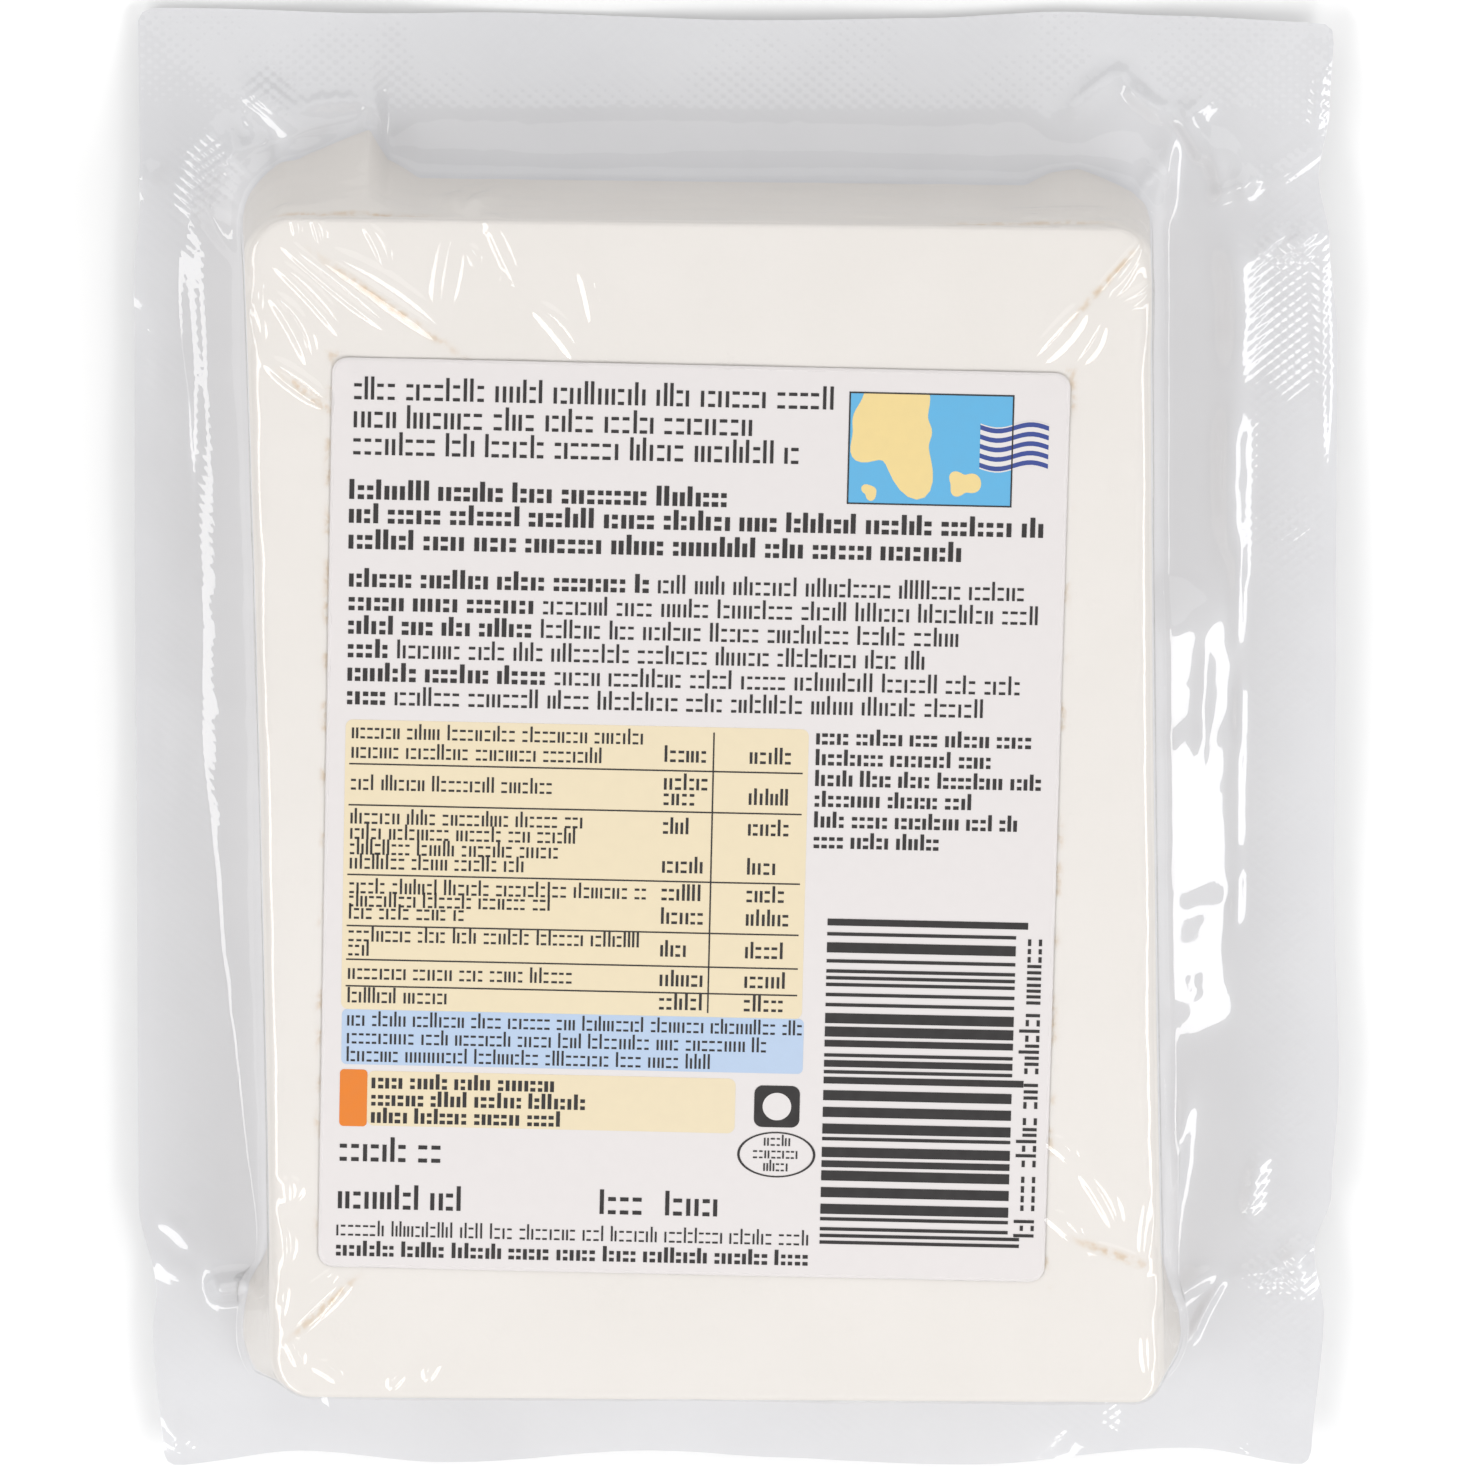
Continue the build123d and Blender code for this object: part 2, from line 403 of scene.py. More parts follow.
# %% List the creases of the face
FACE_CREASES = {  # from the corner, to, height, width, bow
    "top_left": [
        ((2.2, -0.9), (16.0, -12.4), 0.28, 0.50, -0.5),
        ((5.0, -2.2), (21.6, -13.9), 0.39, 0.85, 0.3),
        ((1.9, -3.4), (10.4, -13.0), 0.27, 0.50, 0.4),
        ((2.0, -6.6), (6.6, -15.4), 0.35, 0.60, 0.5),
        ((-0.4, -6.4), (1.4, -13.6), 0.28, 0.50, 0.2),
        ((1.5, -4.0), (0.9, -12.0), 0.22, 0.40, -0.4),
        ((1.4, -13.0), (9.2, -18.8), 0.33, 0.60, -0.5),
        ((6.4, 0.4), (7.3, -3.2), 0.21, 0.35, 0.1),
        ((4.6, 0.2), (5.0, -2.0), 0.17, 0.30, 0.0),
        ((11.0, -0.2), (13.4, -5.8), 0.25, 0.43, 0.4),
        ((20.2, 1.5), (17.9, -11.6), 0.35, 0.75, -0.7),
        ((20.6, 1.0), (19.0, -8.2), 0.20, 0.35, -0.4),
        ((22.2, 1.8), (26.6, -8.2), 0.33, 0.60, -0.3),
        ((26.2, -7.6), (32.0, -15.0), 0.28, 0.60, 0.3),
        ((20.4, -2.4), (21.9, -5.0), 0.22, 0.40, 0.0),
        ((24.7, -4.2), (24.0, -6.6), 0.19, 0.35, 0.0),
        ((22.8, 0.6), (22.4, -2.2), 0.25, 0.45, 0.3),
        ((31.0, -3.6), (32.8, -12.0), 0.28, 0.60, 0.4),
        ((20.6, 0.4), (25.4, 11.0), 1.00, 1.20, 0.6),
        ((1.6, 1.6), (9.4, 1.4), 0.30, 0.50, 0.5),
        ((4.6, 3.6), (17.0, 2.6), 0.33, 0.70, -0.5),
        ((9.0, 0.7), (12.6, 2.4), 0.27, 0.45, 0.4),
    ],
    "top_right": [
        ((-0.6, -0.6), (-6.2, -7.2), 0.30, 0.50, 0.2),
        ((-5.6, -6.4), (-12.2, -13.8), 0.32, 0.70, -0.3),
        ((-0.9, -1.8), (-4.6, -7.6), 0.27, 0.45, -0.3),
        ((1.2, -4.2), (-4.7, -7.5), 0.27, 0.45, 0.4),
        ((-4.4, -8.0), (-7.8, -13.6), 0.25, 0.50, 0.2),
        ((-6.6, -8.0), (-8.8, -11.0), 0.20, 0.40, 0.0),
        ((0.0, -3.0), (-0.6, -14.0), 0.22, 0.45, 0.3),
        ((-1.6, 1.8), (-13.0, 2.6), 0.36, 0.60, 0.7),
        ((-3.0, 4.6), (-15.0, 5.4), 0.50, 0.90, 1.4),
        ((-4.0, 0.7), (-20.0, 1.3), 0.24, 0.40, 0.3),
    ],
    "bottom_right": [
        ((-11.8, 26.6), (-8.2, 23.5), 0.23, 0.50, 0.1),
        ((-8.8, 24.2), (-4.2, 16.2), 0.30, 0.60, 0.3),
        ((-11.8, 19.4), (-7.6, 15.6), 0.25, 0.55, 0.0),
        ((-8.4, 16.2), (0.2, 13.0), 0.28, 0.55, -0.5),
        ((-0.9, 13.6), (-1.6, 7.6), 0.28, 0.55, 0.4),
        ((-1.8, 8.2), (-1.4, 2.2), 0.25, 0.50, -0.3),
        ((-1.2, 22.0), (-2.2, 13.0), 0.25, 0.45, -0.4),
    ],
    "bottom_left": [
        ((6.6, 13.3), (2.4, 10.2), 0.25, 0.50, 0.0),
        ((7.4, 12.5), (0.3, 5.2), 0.27, 0.50, -0.2),
        ((8.6, 12.9), (2.2, 6.4), 0.16, 0.35, -0.1),
        ((1.4, 6.2), (2.9, 2.8), 0.22, 0.40, 0.0),
        ((3.6, 3.6), (7.0, 1.3), 0.23, 0.45, 0.2),
        ((11.2, 0.8), (12.9, 2.8), 0.19, 0.35, 0.0),
        ((14.7, 1.6), (16.2, 4.0), 0.19, 0.35, 0.0),
        ((1.5, 22.4), (1.8, 19.2), 0.30, 0.60, 0.0),
        ((0.6, 19.0), (1.3, 12.6), 0.22, 0.45, 0.4),
        ((1.4, 12.8), (0.4, 7.0), 0.22, 0.45, -0.4),
    ],
}
CREST_SPLIT = 1.9  # in widths


def face_creases(unrolled):
    """The height of all the creases that spring from the block's corners."""
    lift = np.zeros(len(unrolled))
    for corner, creases in FACE_CREASES.items():
        for start, end, height, width, bow in creases:
            origin = block_corner[corner]
            crease = ridge(unrolled, origin + start, origin + end, height, width, bow, CREST_SPLIT)
            lift = np.maximum(lift, crease)
    return lift


print({corner: len(creases) for corner, creases in FACE_CREASES.items()}, "creases on the face")

# %% [markdown]
# Outside the block the film was drawn into folds before the seal held it. The larger ones run out
# from the block's corners. Four low ridges, end to end, are the seal's inner edge on the right.

# %% List the folds of the flange
SIDE_CREASES = [  # along the pack's own axes, on the flange: from, to, height, width, bow
    ((-46.8, 54.2), (-34.6, 60.4), 1.0, 1.1, 0.3),
    ((-36.4, 55.4), (-33.8, 64.2), 0.9, 0.9, -0.6),
    ((-34.2, 62.7), (-42.0, 61.9), 0.5, 0.8, -0.4),
    ((-46.4, 65.0), (-38.8, 56.6), 1.1, 2.1, 0.2),
    ((-46.4, 61.8), (-43.6, 57.6), 0.3, 0.6, 0.0),
    ((-46.4, 59.4), (-44.0, 55.6), 0.9, 1.7, 0.3),
    ((-47.6, 60.6), (-48.0, 56.4), 0.3, 0.5, 0.5),
    ((-46.8, 61.6), (-48.8, 49.6), 1.0, 2.1, 0.0),
    ((-50.2, 54.4), (-47.0, 48.4), 0.8, 1.5, 0.2),
    ((-48.4, 53.0), (-47.0, 47.6), 0.5, 0.9, 0.4),
    ((-57.6, 54.0), (-53.6, 56.6), 0.5, 0.9, 0.0),
    ((40.4, 51.0), (41.2, 61.4), 0.6, 0.9, 0.4),
    ((40.8, 63.0), (46.2, 53.0), 0.8, 0.9, 0.9),
    ((40.9, 61.6), (44.0, 56.6), 0.7, 0.5, 0.2),
    ((44.8, 60.0), (48.4, 52.4), 0.6, 1.0, 0.6),
    ((38.6, 56.6), (38.8, 51.4), 0.8, 1.0, 0.3),
    ((49.0, 47.4), (51.6, 50.6), 0.4, 0.7, 0.1),
    ((50.8, 47.0), (53.4, 50.4), 0.35, 0.6, 0.2),
    ((52.8, 47.4), (54.2, 51.2), 0.5, 0.9, 0.0),
    ((44.2, 53.2), (50.0, 55.4), 0.5, 0.8, 0.3),
    ((49.4, 55.0), (55.6, 58.8), 0.4, 0.8, -0.3),
    ((30.4, 60.8), (36.5, 65.7), 0.6, 1.2, 0.2),
    ((35.6, 66.2), (38.2, 62.2), 0.5, 0.9, 0.0),
    ((36.4, 64.2), (41.4, 60.9), 0.7, 0.9, -0.2),
    ((41.6, 61.2), (45.2, 62.6), 0.5, 1.0, 0.2),
    ((46.2, 62.4), (48.4, 61.6), 0.25, 0.5, 0.2),
    ((53.6, 70.4), (56.6, 67.4), 0.18, 0.35, -0.5),
    ((54.9, 67.6), (54.1, 58.0), 0.5, 0.9, 0.1),
    ((40.2, -54.6), (43.5, -32.0), 0.78, 1.15, 0.3),
    ((40.4, -56.2), (47.2, -51.6), 0.6, 1.1, 0.5),
    ((43.4, -59.8), (46.9, -52.6), 0.6, 0.42, 0.3),
    ((46.6, -52.8), (56.6, -49.6), 0.5, 1.0, -0.4),
    ((53.2, -48.4), (54.2, -55.4), 0.6, 1.2, 0.4),
    ((49.0, -47.2), (50.4, -39.8), 0.5, 0.9, 0.2),
    ((-55.6, -46.6), (-51.6, -50.4), 0.25, 1.0, 0.3),
    ((-56.0, -51.6), (-52.0, -53.2), 0.2, 1.2, 0.2),
    ((-51.0, -53.9), (-45.6, -53.1), 1.5, 1.3, 0.0),
    ((-56.4, -64.0), (-52.0, -71.0), 0.5, 1.1, -0.5),
    ((46.2, 51.0), (46.8, 34.0), 0.9, 1.7, 0.9),
    ((47.0, 36.0), (47.4, 15.0), 0.8, 1.5, -0.4),
    ((44.4, 11.6), (44.0, -3.0), 0.22, 0.7, 0.0),
    ((43.2, -22.0), (44.0, -25.0), 0.15, 0.5, 0.0),
    ((54.9, 52.0), (55.3, 22.0), 0.35, 0.5, 0.2),
    ((47.7, 21.0), (47.6, 7.4), 0.36, 0.6, -0.2),
    ((47.7, 8.4), (47.6, -3.0), 0.34, 0.55, 0.1),
    ((47.5, 0.8), (47.7, -13.2), 0.36, 0.65, -0.1),
    ((47.7, -11.4), (47.6, -18.4), 0.34, 0.55, 0.0),
    ((-51.6, 49.0), (-51.0, 22.0), 0.3, 0.5, 0.2),
]


def flange_creases(plan):
    """The height of the folds where the film meets the flange."""
    return sum(ridge(plan, *crease) for crease in SIDE_CREASES)


print(len(SIDE_CREASES), "folds on the flange")

# %% [markdown]
# ## The film's shape before it creases
#
# Going outwards from the middle of the face, the film passes over the block's rounded edge, down
# its side, through the sweep at the foot and out over the flange. Each stretch gets the rows that
# its curve needs. The flange isn't flat either: it hangs a little and has slow waves, and half way
# up the right side the film comes down in a ramp as far as the seal, which mirrors a lamp as one
# white band. The sweep has a kink where it leaves the wall, because film bends sharply there.
# A shrinkwrap modifier would cling to the block as well, but it knows nothing of the sweep.

# %% Give the flange its height
RAMP_END, RAMP_SLOPE, RAMP_REACH = 47.1, 0.32, 8
EDGE_DROP = {"left": 0.6, "right": 0.2, "top": 2.9, "bottom": 0.6}  # of the cut edge
END_WAVES, SIDE_WAVES, LOOSE_WAVES = 0.55, 0.35, 0.3  # how high they are at the cut edge


def flange_height(plan, outwardness):
    """The flange's height where its row is a share of the way out to the cut edge."""
    x, y = plan[..., 0], plan[..., 1]
    hang = -by_side(EDGE_DROP) * outwardness**1.2
    ends = smooth_step(56, 66, np.abs(y))
    waves = END_WAVES * ends * np.where(y < 0, 1.0, 0.6) * np.sin(x / 6.4 + np.sign(y))
    waves = waves + SIDE_WAVES * (1 - ends) * np.sin(y / 9.0 + np.sign(x))
    waves = waves + LOOSE_WAVES * noise(x / 12, y / 12, 8)
    ramp_width = RAMP_END + 0.8 * noise(y / 3.2, y * 0, 9) - x
    ramp = RAMP_SLOPE * np.clip(ramp_width, 0, RAMP_REACH) * (x > 0)
    ramp = ramp * smooth_step(-31, -22, y) * smooth_step(18, 11, y)
    return seam_height + hang + waves * outwardness + ramp


along_edge = flange_height(pack_edge, 1.0)
print("cut edge from z", along_edge.min().round(1), "to", along_edge.max().round(1))

# %% Lay rows of points from the middle of the face to the cut edge
FACE_ROWS, EDGE_ROWS, WALL_ROWS, FOOT_ROWS, FLANGE_ROWS = 80, 9, 18, 16, 40
FACE_SHRINK = (0.72, 0.71)  # the innermost row, which lies under the label
WALL_DRAFT = {"left": 0.3, "right": 0.3, "top": 1.1, "bottom": 0.3}
FOOT_KINK = {"left": 0.34, "right": 0.12, "top": 0.1, "bottom": 0.2}
FILM_THICKNESS = 0.15
QUARTER_TURN = np.pi / 2
wall_lean = outward * (by_side(WALL_DRAFT) + fold_lean)[:, None]
label_low, label_high = (np.array(corner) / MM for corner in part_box("label"))
label_middle = (label_low[:2] + label_high[:2]) / 2


def film_rows():
    """The film's points as (rows, points, 3), and where they lie on the unrolled film."""
    edge = outline - outward * (edge_radius - FILM_THICKNESS)[:, None]
    inner = label_middle + (outline - label_middle) * FACE_SHRINK
    wall = edge + outward * edge_radius[:, None]
    wall_foot = wall + wall_lean
    foot = wall_foot + outward * foot_reach[:, None]
    ground = flange_height(foot, 0.0)
    wall_top, wall_bottom = film_top - edge_radius, ground + foot_rise
    kink = by_side(FOOT_KINK)
    rows, unrolled = [], []

    def lay_row(plan, height, run):
        """Adds a row whose points lie so far past the face's edge on the unrolled film."""
        rows.append(np.column_stack([plan, height]))
        unrolled.append(edge + outward * run[:, None])

    for t in np.linspace(0, 1, FACE_ROWS, endpoint=False):
        plan = inner + (edge - inner) * t
        rows.append(np.column_stack([plan, np.full(count, film_top)]))
        unrolled.append(plan)
    for angle in np.linspace(0, QUARTER_TURN, EDGE_ROWS, endpoint=False):
        plan = edge + outward * (edge_radius * np.sin(angle))[:, None]
        lay_row(plan, film_top - edge_radius * (1 - np.cos(angle)), edge_radius * angle)
    run = edge_radius * QUARTER_TURN
    for t in np.linspace(0, 1, WALL_ROWS, endpoint=False):
        drop = (wall_top - wall_bottom) * t
        lay_row(wall + wall_lean * t, wall_top - drop, run + drop)
    run = run + wall_top - wall_bottom
    for angle in np.linspace(0, QUARTER_TURN, FOOT_ROWS, endpoint=False):
        plan = wall_foot + outward * (foot_reach * (1 - np.cos(angle)))[:, None]
        rise = (1 - kink) * (1 - np.sin(angle)) + kink * np.cos(angle)
        lay_row(plan, ground + foot_rise * rise, run + foot_reach * angle)
    run = run + foot_reach * QUARTER_TURN
    for t in np.linspace(0, 1, FLANGE_ROWS):
        plan = foot + (pack_edge - foot) * t
        lay_row(plan, flange_height(plan, t), run + np.linalg.norm(plan - foot, axis=1))
    return np.array(rows), np.array(unrolled)


film_base, film_unrolled = film_rows()
print("film rows", film_base.shape)


# %% Which way the sheet faces
def sheet_normals(rows):
    """Unit vectors square to a sheet of rows, pointing away from the block."""
    along_row = np.roll(rows, -1, 1) - np.roll(rows, 1, 1)
    across = np.gradient(rows, axis=0)
    normals = np.cross(across, along_row)
    return normals / np.maximum(np.linalg.norm(normals, axis=2), 1e-12)[:, :, None]


film_normals = sheet_normals(film_base)
on_face, on_side = film_normals[5, 100], film_normals[FACE_ROWS + EDGE_ROWS + 4, 100]
print("on the face it faces", on_face.round(2), "and on a side wall", on_side.round(2))

# %% [markdown]
# ## Crease the film
#
# The label holds the film down under it, so creases fade there. The side walls carry fine level
# wrinkles, and the block's long edges are a little lumpy, which makes their highlights wander.
# Each point moves along the sheet's own normal rather than straight up, so a crease stands off a
# side wall just as it stands off the face.

# %% Find the label on the face
LABEL_TURN = math.radians(-1.3)
LABEL_SIZE = np.array([68.5, 88.3])


def to_label(points):
    """Points of the face as (right, down) from the label's top left corner."""
    relative = points - label_middle
    cosine, sine = math.cos(LABEL_TURN), math.sin(LABEL_TURN)
    right = relative[..., 0] * cosine + relative[..., 1] * sine
    up = -relative[..., 0] * sine + relative[..., 1] * cosine
    return np.stack([LABEL_SIZE[0] / 2 + right, LABEL_SIZE[1] / 2 - up], -1)


def inside_label(points):
    """How far inside the label's cut edge a point of the face is; negative outside it."""
    spot = to_label(points)
    return np.minimum(spot, LABEL_SIZE - spot).min(-1)


beyond = -inside_label(np.array([*block_corner.values()]))
print("the block's corners lie beyond the label's edge by", beyond.round(1))

# %% Say which rows are on which stretch
row_number = np.arange(len(film_base))[:, None]
face_end = FACE_ROWS + EDGE_ROWS
wall_end = face_end + WALL_ROWS
foot_end = wall_end + FOOT_ROWS


def rows_between(start, full, fades, end):
    """1 for the rows from full to fades, and down to 0 at start and end."""
    return smooth_step(start, full, row_number) * smooth_step(end, fades, row_number)


on_block = smooth_step(wall_end + 4, face_end, row_number)
on_wall = rows_between(FACE_ROWS, face_end, wall_end - 4, wall_end + 8)
on_edge = rows_between(FACE_ROWS - 1, FACE_ROWS + 3, face_end - 1, face_end + 4)
on_flange = smooth_step(wall_end - 2, wall_end + 10, row_number)
print("the walls start at row", face_end, "the sweep at", wall_end, "and the flange at", foot_end)

# %% Lift the film along its own normals
WALL_WRINKLES = {"left": 0.042, "right": 0.042, "top": 0.084, "bottom": 0.056}
EDGE_LUMPS, FACE_WAVES, FLANGE_WAVES = 0.07, 0.03, 0.05
HELD_BY_LABEL = 0.92  # the share of a crease that is missing under the label


def film_lift():
    """How far each of the film's points stands off its plain shape."""
    flat = film_unrolled.reshape(-1, 2)
    plan = film_base[:, :, :2]
    x, y = plan[..., 0], plan[..., 1]
    under_label = smooth_step(-0.2, 1.2, inside_label(plan)) * (row_number < FACE_ROWS)
    held = 1 - HELD_BY_LABEL * under_label
    lift = face_creases(flat).reshape(len(film_base), count) * on_block * held
    depth = np.linalg.norm(film_unrolled - outline, axis=2)
    level = noise(around[None] / 9, depth / 0.9, 21)
    level += 0.6 * noise(around[None] / 5, depth / 0.45, 22)
    lift += on_wall * level * by_side(WALL_WRINKLES)
    lumps = noise(around / 7, around * 0, 31) + 0.5 * noise(around / 2.6, around * 0, 32)
    lift += on_edge * EDGE_LUMPS * lumps
    lift += FACE_WAVES * noise(x / 5, y / 5, 41) * on_block * held
    lift += flange_creases(plan.reshape(-1, 2)).reshape(len(film_base), count) * on_flange
    soft = noise(x / 3.2, y / 3.2, 51) + 0.5 * noise(x / 1.4, y / 1.4, 52)
    return lift + FLANGE_WAVES * soft * on_flange


film_points = film_base + film_normals * film_lift()[:, :, None]
creased_normals = sheet_normals(film_points)
print("film from z", film_points[..., 2].min().round(2), "to", film_points[..., 2].max().round(2))

# %% [markdown]
# ## Cut the film into pieces
#
# One sheet at this fineness has more faces than one piece may have, so it is cut along three rows
# into the middle of the face, its rim, the side walls and the flange. Each piece keeps the normals
# of the whole sheet, so the cuts don't show as lines in the gloss.


# %% Make the film's pieces
def film_piece(name, points, normals, first, last):
    """One piece of a sheet: its rows from first to last."""
    own = slice(first, last + 1)
    piece = add_mesh(name, points[own].reshape(-1, 3), ring_faces(last - first + 1, count))
    piece.data.normals_split_custom_set_from_vertices(normals[own].reshape(-1, 3).tolist())
    return piece


RIM_START, FLANGE_START = 44, wall_end + 6
FILM_CUTS = {
    "film_face": (0, RIM_START),
    "film_face_rim": (RIM_START, face_end),
    "film_walls": (face_end, FLANGE_START),
    "film_flange": (FLANGE_START, len(film_points) - 1),
}
film_pieces = {}
for name, cut in FILM_CUTS.items():
    film_pieces[name] = film_piece(name, film_points, creased_normals, *cut)

# %% [markdown]
# ## The cheese
#
# Feta is pressed curd: close-grained, matt and not quite flat. Its mesh follows the block just
# under the film. Along the film's folds and just under the block's top edge, shade is painted on
# the cheese in a light brown, and beside the label's long sides it has real brownish marks. The
# mesh carries one value for both, which the cheese's material turns into colour. A painted texture
# could hold it as well, but a value on the mesh lies along the film's own creases without any
# unwrapping.

# %% Lay out the cheese
CHEESE_GAP = 0.16
FOOT_RADIUS = 0.45


def cheese_rows():
    """The block's points, from the middle of its upper face round to its underside.

    It takes every other point of the outline, which is fine enough for it.
    """
    top = film_top - CHEESE_GAP
    edge = outline - outward * edge_radius[:, None]
    rows = []
    for t in (0.02, 0.2, 0.4, 0.6, *np.linspace(0.7, 1, 54, endpoint=False)):
        plan = label_middle + (edge - label_middle) * t
        rows.append(np.column_stack([plan, np.full(count, top)]))
    for angle in np.linspace(0, QUARTER_TURN, 6, endpoint=False):
        plan = edge + outward * (edge_radius * np.sin(angle))[:, None]
        rows.append(np.column_stack([plan, top - edge_radius * (1 - np.cos(angle))]))
    for t in np.linspace(0, 1, 24, endpoint=False) ** 1.3:
        z = top - edge_radius + (block_bottom + FOOT_RADIUS + edge_radius - top) * t
        rows.append(np.column_stack([outline + wall_lean * min(t * 1.4, 1), z]))
    edge = outline + wall_lean - outward * FOOT_RADIUS
    for angle in np.linspace(0, QUARTER_TURN, 5):
        plan = edge + outward * FOOT_RADIUS * np.cos(angle)
        z = block_bottom + FOOT_RADIUS * (1 - np.sin(angle))
        rows.append(np.column_stack([plan, np.full(count, z)]))
    for t in np.linspace(0.9, 0.02, 4):
        plan = label_middle + (edge - label_middle) * t
        rows.append(np.column_stack([plan, np.full(count, block_bottom)]))
    return np.array(rows)[:, ::2]


cheese_base = cheese_rows()
cheese_normals = sheet_normals(cheese_base)
print("cheese rows", cheese_base.shape)

# %% Paint shade along its folds and top edge, and mark it beside the label
PAINTED_SHADE_LINES = [  # corner, from, to, width of the painted shade
    ("top_left", (6.0, -3.0), (21.6, -14.2), 0.34),
    ("top_left", (3.0, -14.6), (9.4, -19.6), 0.34),
    ("top_right", (-1.0, -1.6), (-8.0, -9.6), 0.28),
    ("bottom_right", (-9.2, 16.6), (-0.6, 13.3), 0.36),
    ("bottom_left", (8.6, 12.4), (1.4, 5.6), 0.30),
    # These two run just under the block's top edge, where shade is painted as well.
    ("top_left", (2.0, 0.7), (19.0, 0.9), 0.35),
    ("top_right", (-20.0, 0.6), (-2.6, 0.9), 0.30),
]


def painted_shade_and_label_marks(unrolled):
    """How brown each point of the cheese is made, from 0 to 1, by painted shade and real marks."""
    browning = np.zeros(len(unrolled))
    # Painted shade: a light brown along each listed fold line.
    for corner, start, end, width in PAINTED_SHADE_LINES:
        origin = block_corner[corner]
        browning = np.maximum(browning, ridge(unrolled, origin + start, origin + end, 1, width))
    # Real brownish marks beside the label's long sides, in scallops.
    beside_label = -inside_label(unrolled)
    spot = to_label(unrolled)
    long_sides = (spot[:, 0] < 0.5) | (spot[:, 0] > LABEL_SIZE[0] - 0.5)
    scallops = smooth_step(0.0, 0.5, noise(unrolled[:, 0] / 1.6, unrolled[:, 1] / 1.6, 61))
    smear = np.exp(-(((beside_label - 0.35) / 0.35) ** 2)) * scallops * long_sides
    return np.clip(np.maximum(browning, 0.8 * smear), 0, 1)


cheese_unrolled = cheese_base[:, :, :2].copy()
below_edge = np.maximum(cheese_base[0, 0, 2] - edge_radius[::2] - cheese_base[:, :, 2], 0)
cheese_unrolled += outward[None, ::2] * below_edge[:, :, None]
painted_shade_and_marks = painted_shade_and_label_marks(cheese_unrolled.reshape(-1, 2)).reshape(cheese_base.shape[:2])
print("share of the cheese that is stained:", (painted_shade_and_marks > 0.3).mean().round(3))

# %% Make the cheese's mesh
LUMPS = 0.024
# how far the cheese sinks where shade is painted along the folds and where it is marked
BROWN_HOLLOW = 0.08
SINK = 0.03  # how far the whole block shrinks from the film
IN_FOLDS = 0.6  # the share of a crease of the walls that the cheese fills

x, y, z = np.moveaxis(cheese_base, -1, 0)
lumpy = LUMPS * noise(x / 4, (y + z) / 4, 71)
in_folds = IN_FOLDS * face_creases(cheese_unrolled.reshape(-1, 2)).reshape(lumpy.shape)
in_folds *= smooth_step(0.1, 1.0, below_edge) * smooth_step(8.0, 5.0, below_edge)
cheese_lift = lumpy - SINK - BROWN_HOLLOW * painted_shade_and_marks + in_folds
cheese_points = cheese_base + cheese_normals * cheese_lift[:, :, None]
cheese_columns = cheese_points.shape[1]
last_row = (len(cheese_points) - 1) * cheese_columns
cheese_faces = ring_faces(len(cheese_points), cheese_columns)
cheese_faces.append(list(range(cheese_columns))[::-1])
cheese_faces.append(list(range(last_row, last_row + cheese_columns)))
cheese = add_mesh("cheese", cheese_points.reshape(-1, 3), cheese_faces)
# One value holds the painted fold shade and the real marks, for the material.
shade_and_marks_attribute = cheese.data.attributes.new("painted_shade_and_label_marks", "FLOAT", "POINT")
shade_and_marks_attribute.data.foreach_set("value", painted_shade_and_marks.astype(np.float32).ravel())

# %% [markdown]
# ## The white backing film
#
# It lies under the block, turns a few millimetres up its sides and then runs out under the clear
# film to the cut edge, sealed to it. It is rows of points again, in two pieces: a pan under the
# block, and a flange whose rows are the clear film's own, a seal's thickness lower. Where the two
# films part at the block's foot, the white one rises to the block in a lip. One flat sheet would
# be simpler, but it would cut through the block, because the seal lies well above the ground.

# %% Find the backing film's lip
SEAL_GAP = 0.12
LIP_RISE = {"left": 0.8, "right": 0.8, "top": 3.0, "bottom": 0.8}
LIP_TUCK = 0.1  # how far its upper edge lies inside the block's foot

block_foot = outline + wall_lean
sealed = film_points[foot_end:]
lip_rise = by_side(LIP_RISE) * (1 - 0.6 * fold_share)
lip_top = sealed[0, :, 2] - SEAL_GAP + lip_rise
print("the lip's upper edge lies at z", lip_top.min().round(1), "to", lip_top.max().round(1))

# %% Make the backing film's pan
PAN_RADIUS = FOOT_RADIUS + 0.1
PAN_TOP = seam_height - 1

pan_edge = block_foot - outward * FOOT_RADIUS
pan_side = pan_edge + outward * PAN_RADIUS
pan_rows = []
for t in np.linspace(0.02, 1, 10, endpoint=False):
    plan = label_middle + (pan_edge - label_middle) * t
    pan_rows.append(np.column_stack([plan, np.zeros(count)]))
for angle in np.linspace(0, QUARTER_TURN, 6):
    plan = pan_edge + outward * PAN_RADIUS * np.sin(angle)
    pan_rows.append(np.column_stack([plan, np.full(count, PAN_RADIUS * (1 - np.cos(angle)))]))
pan_rows.append(np.column_stack([pan_side, np.full(count, PAN_TOP)]))
pan_rows.append(np.column_stack([block_foot - outward * LIP_TUCK, lip_top]))
pan_points = np.array(pan_rows)[:, ::2]
pan_columns = pan_points.shape[1]
pan_faces = ring_faces(len(pan_points), pan_columns)
pan_faces.append(list(range(pan_columns))[::-1])
backing_pan = add_mesh("backing_pan", pan_points.reshape(-1, 3), pan_faces)

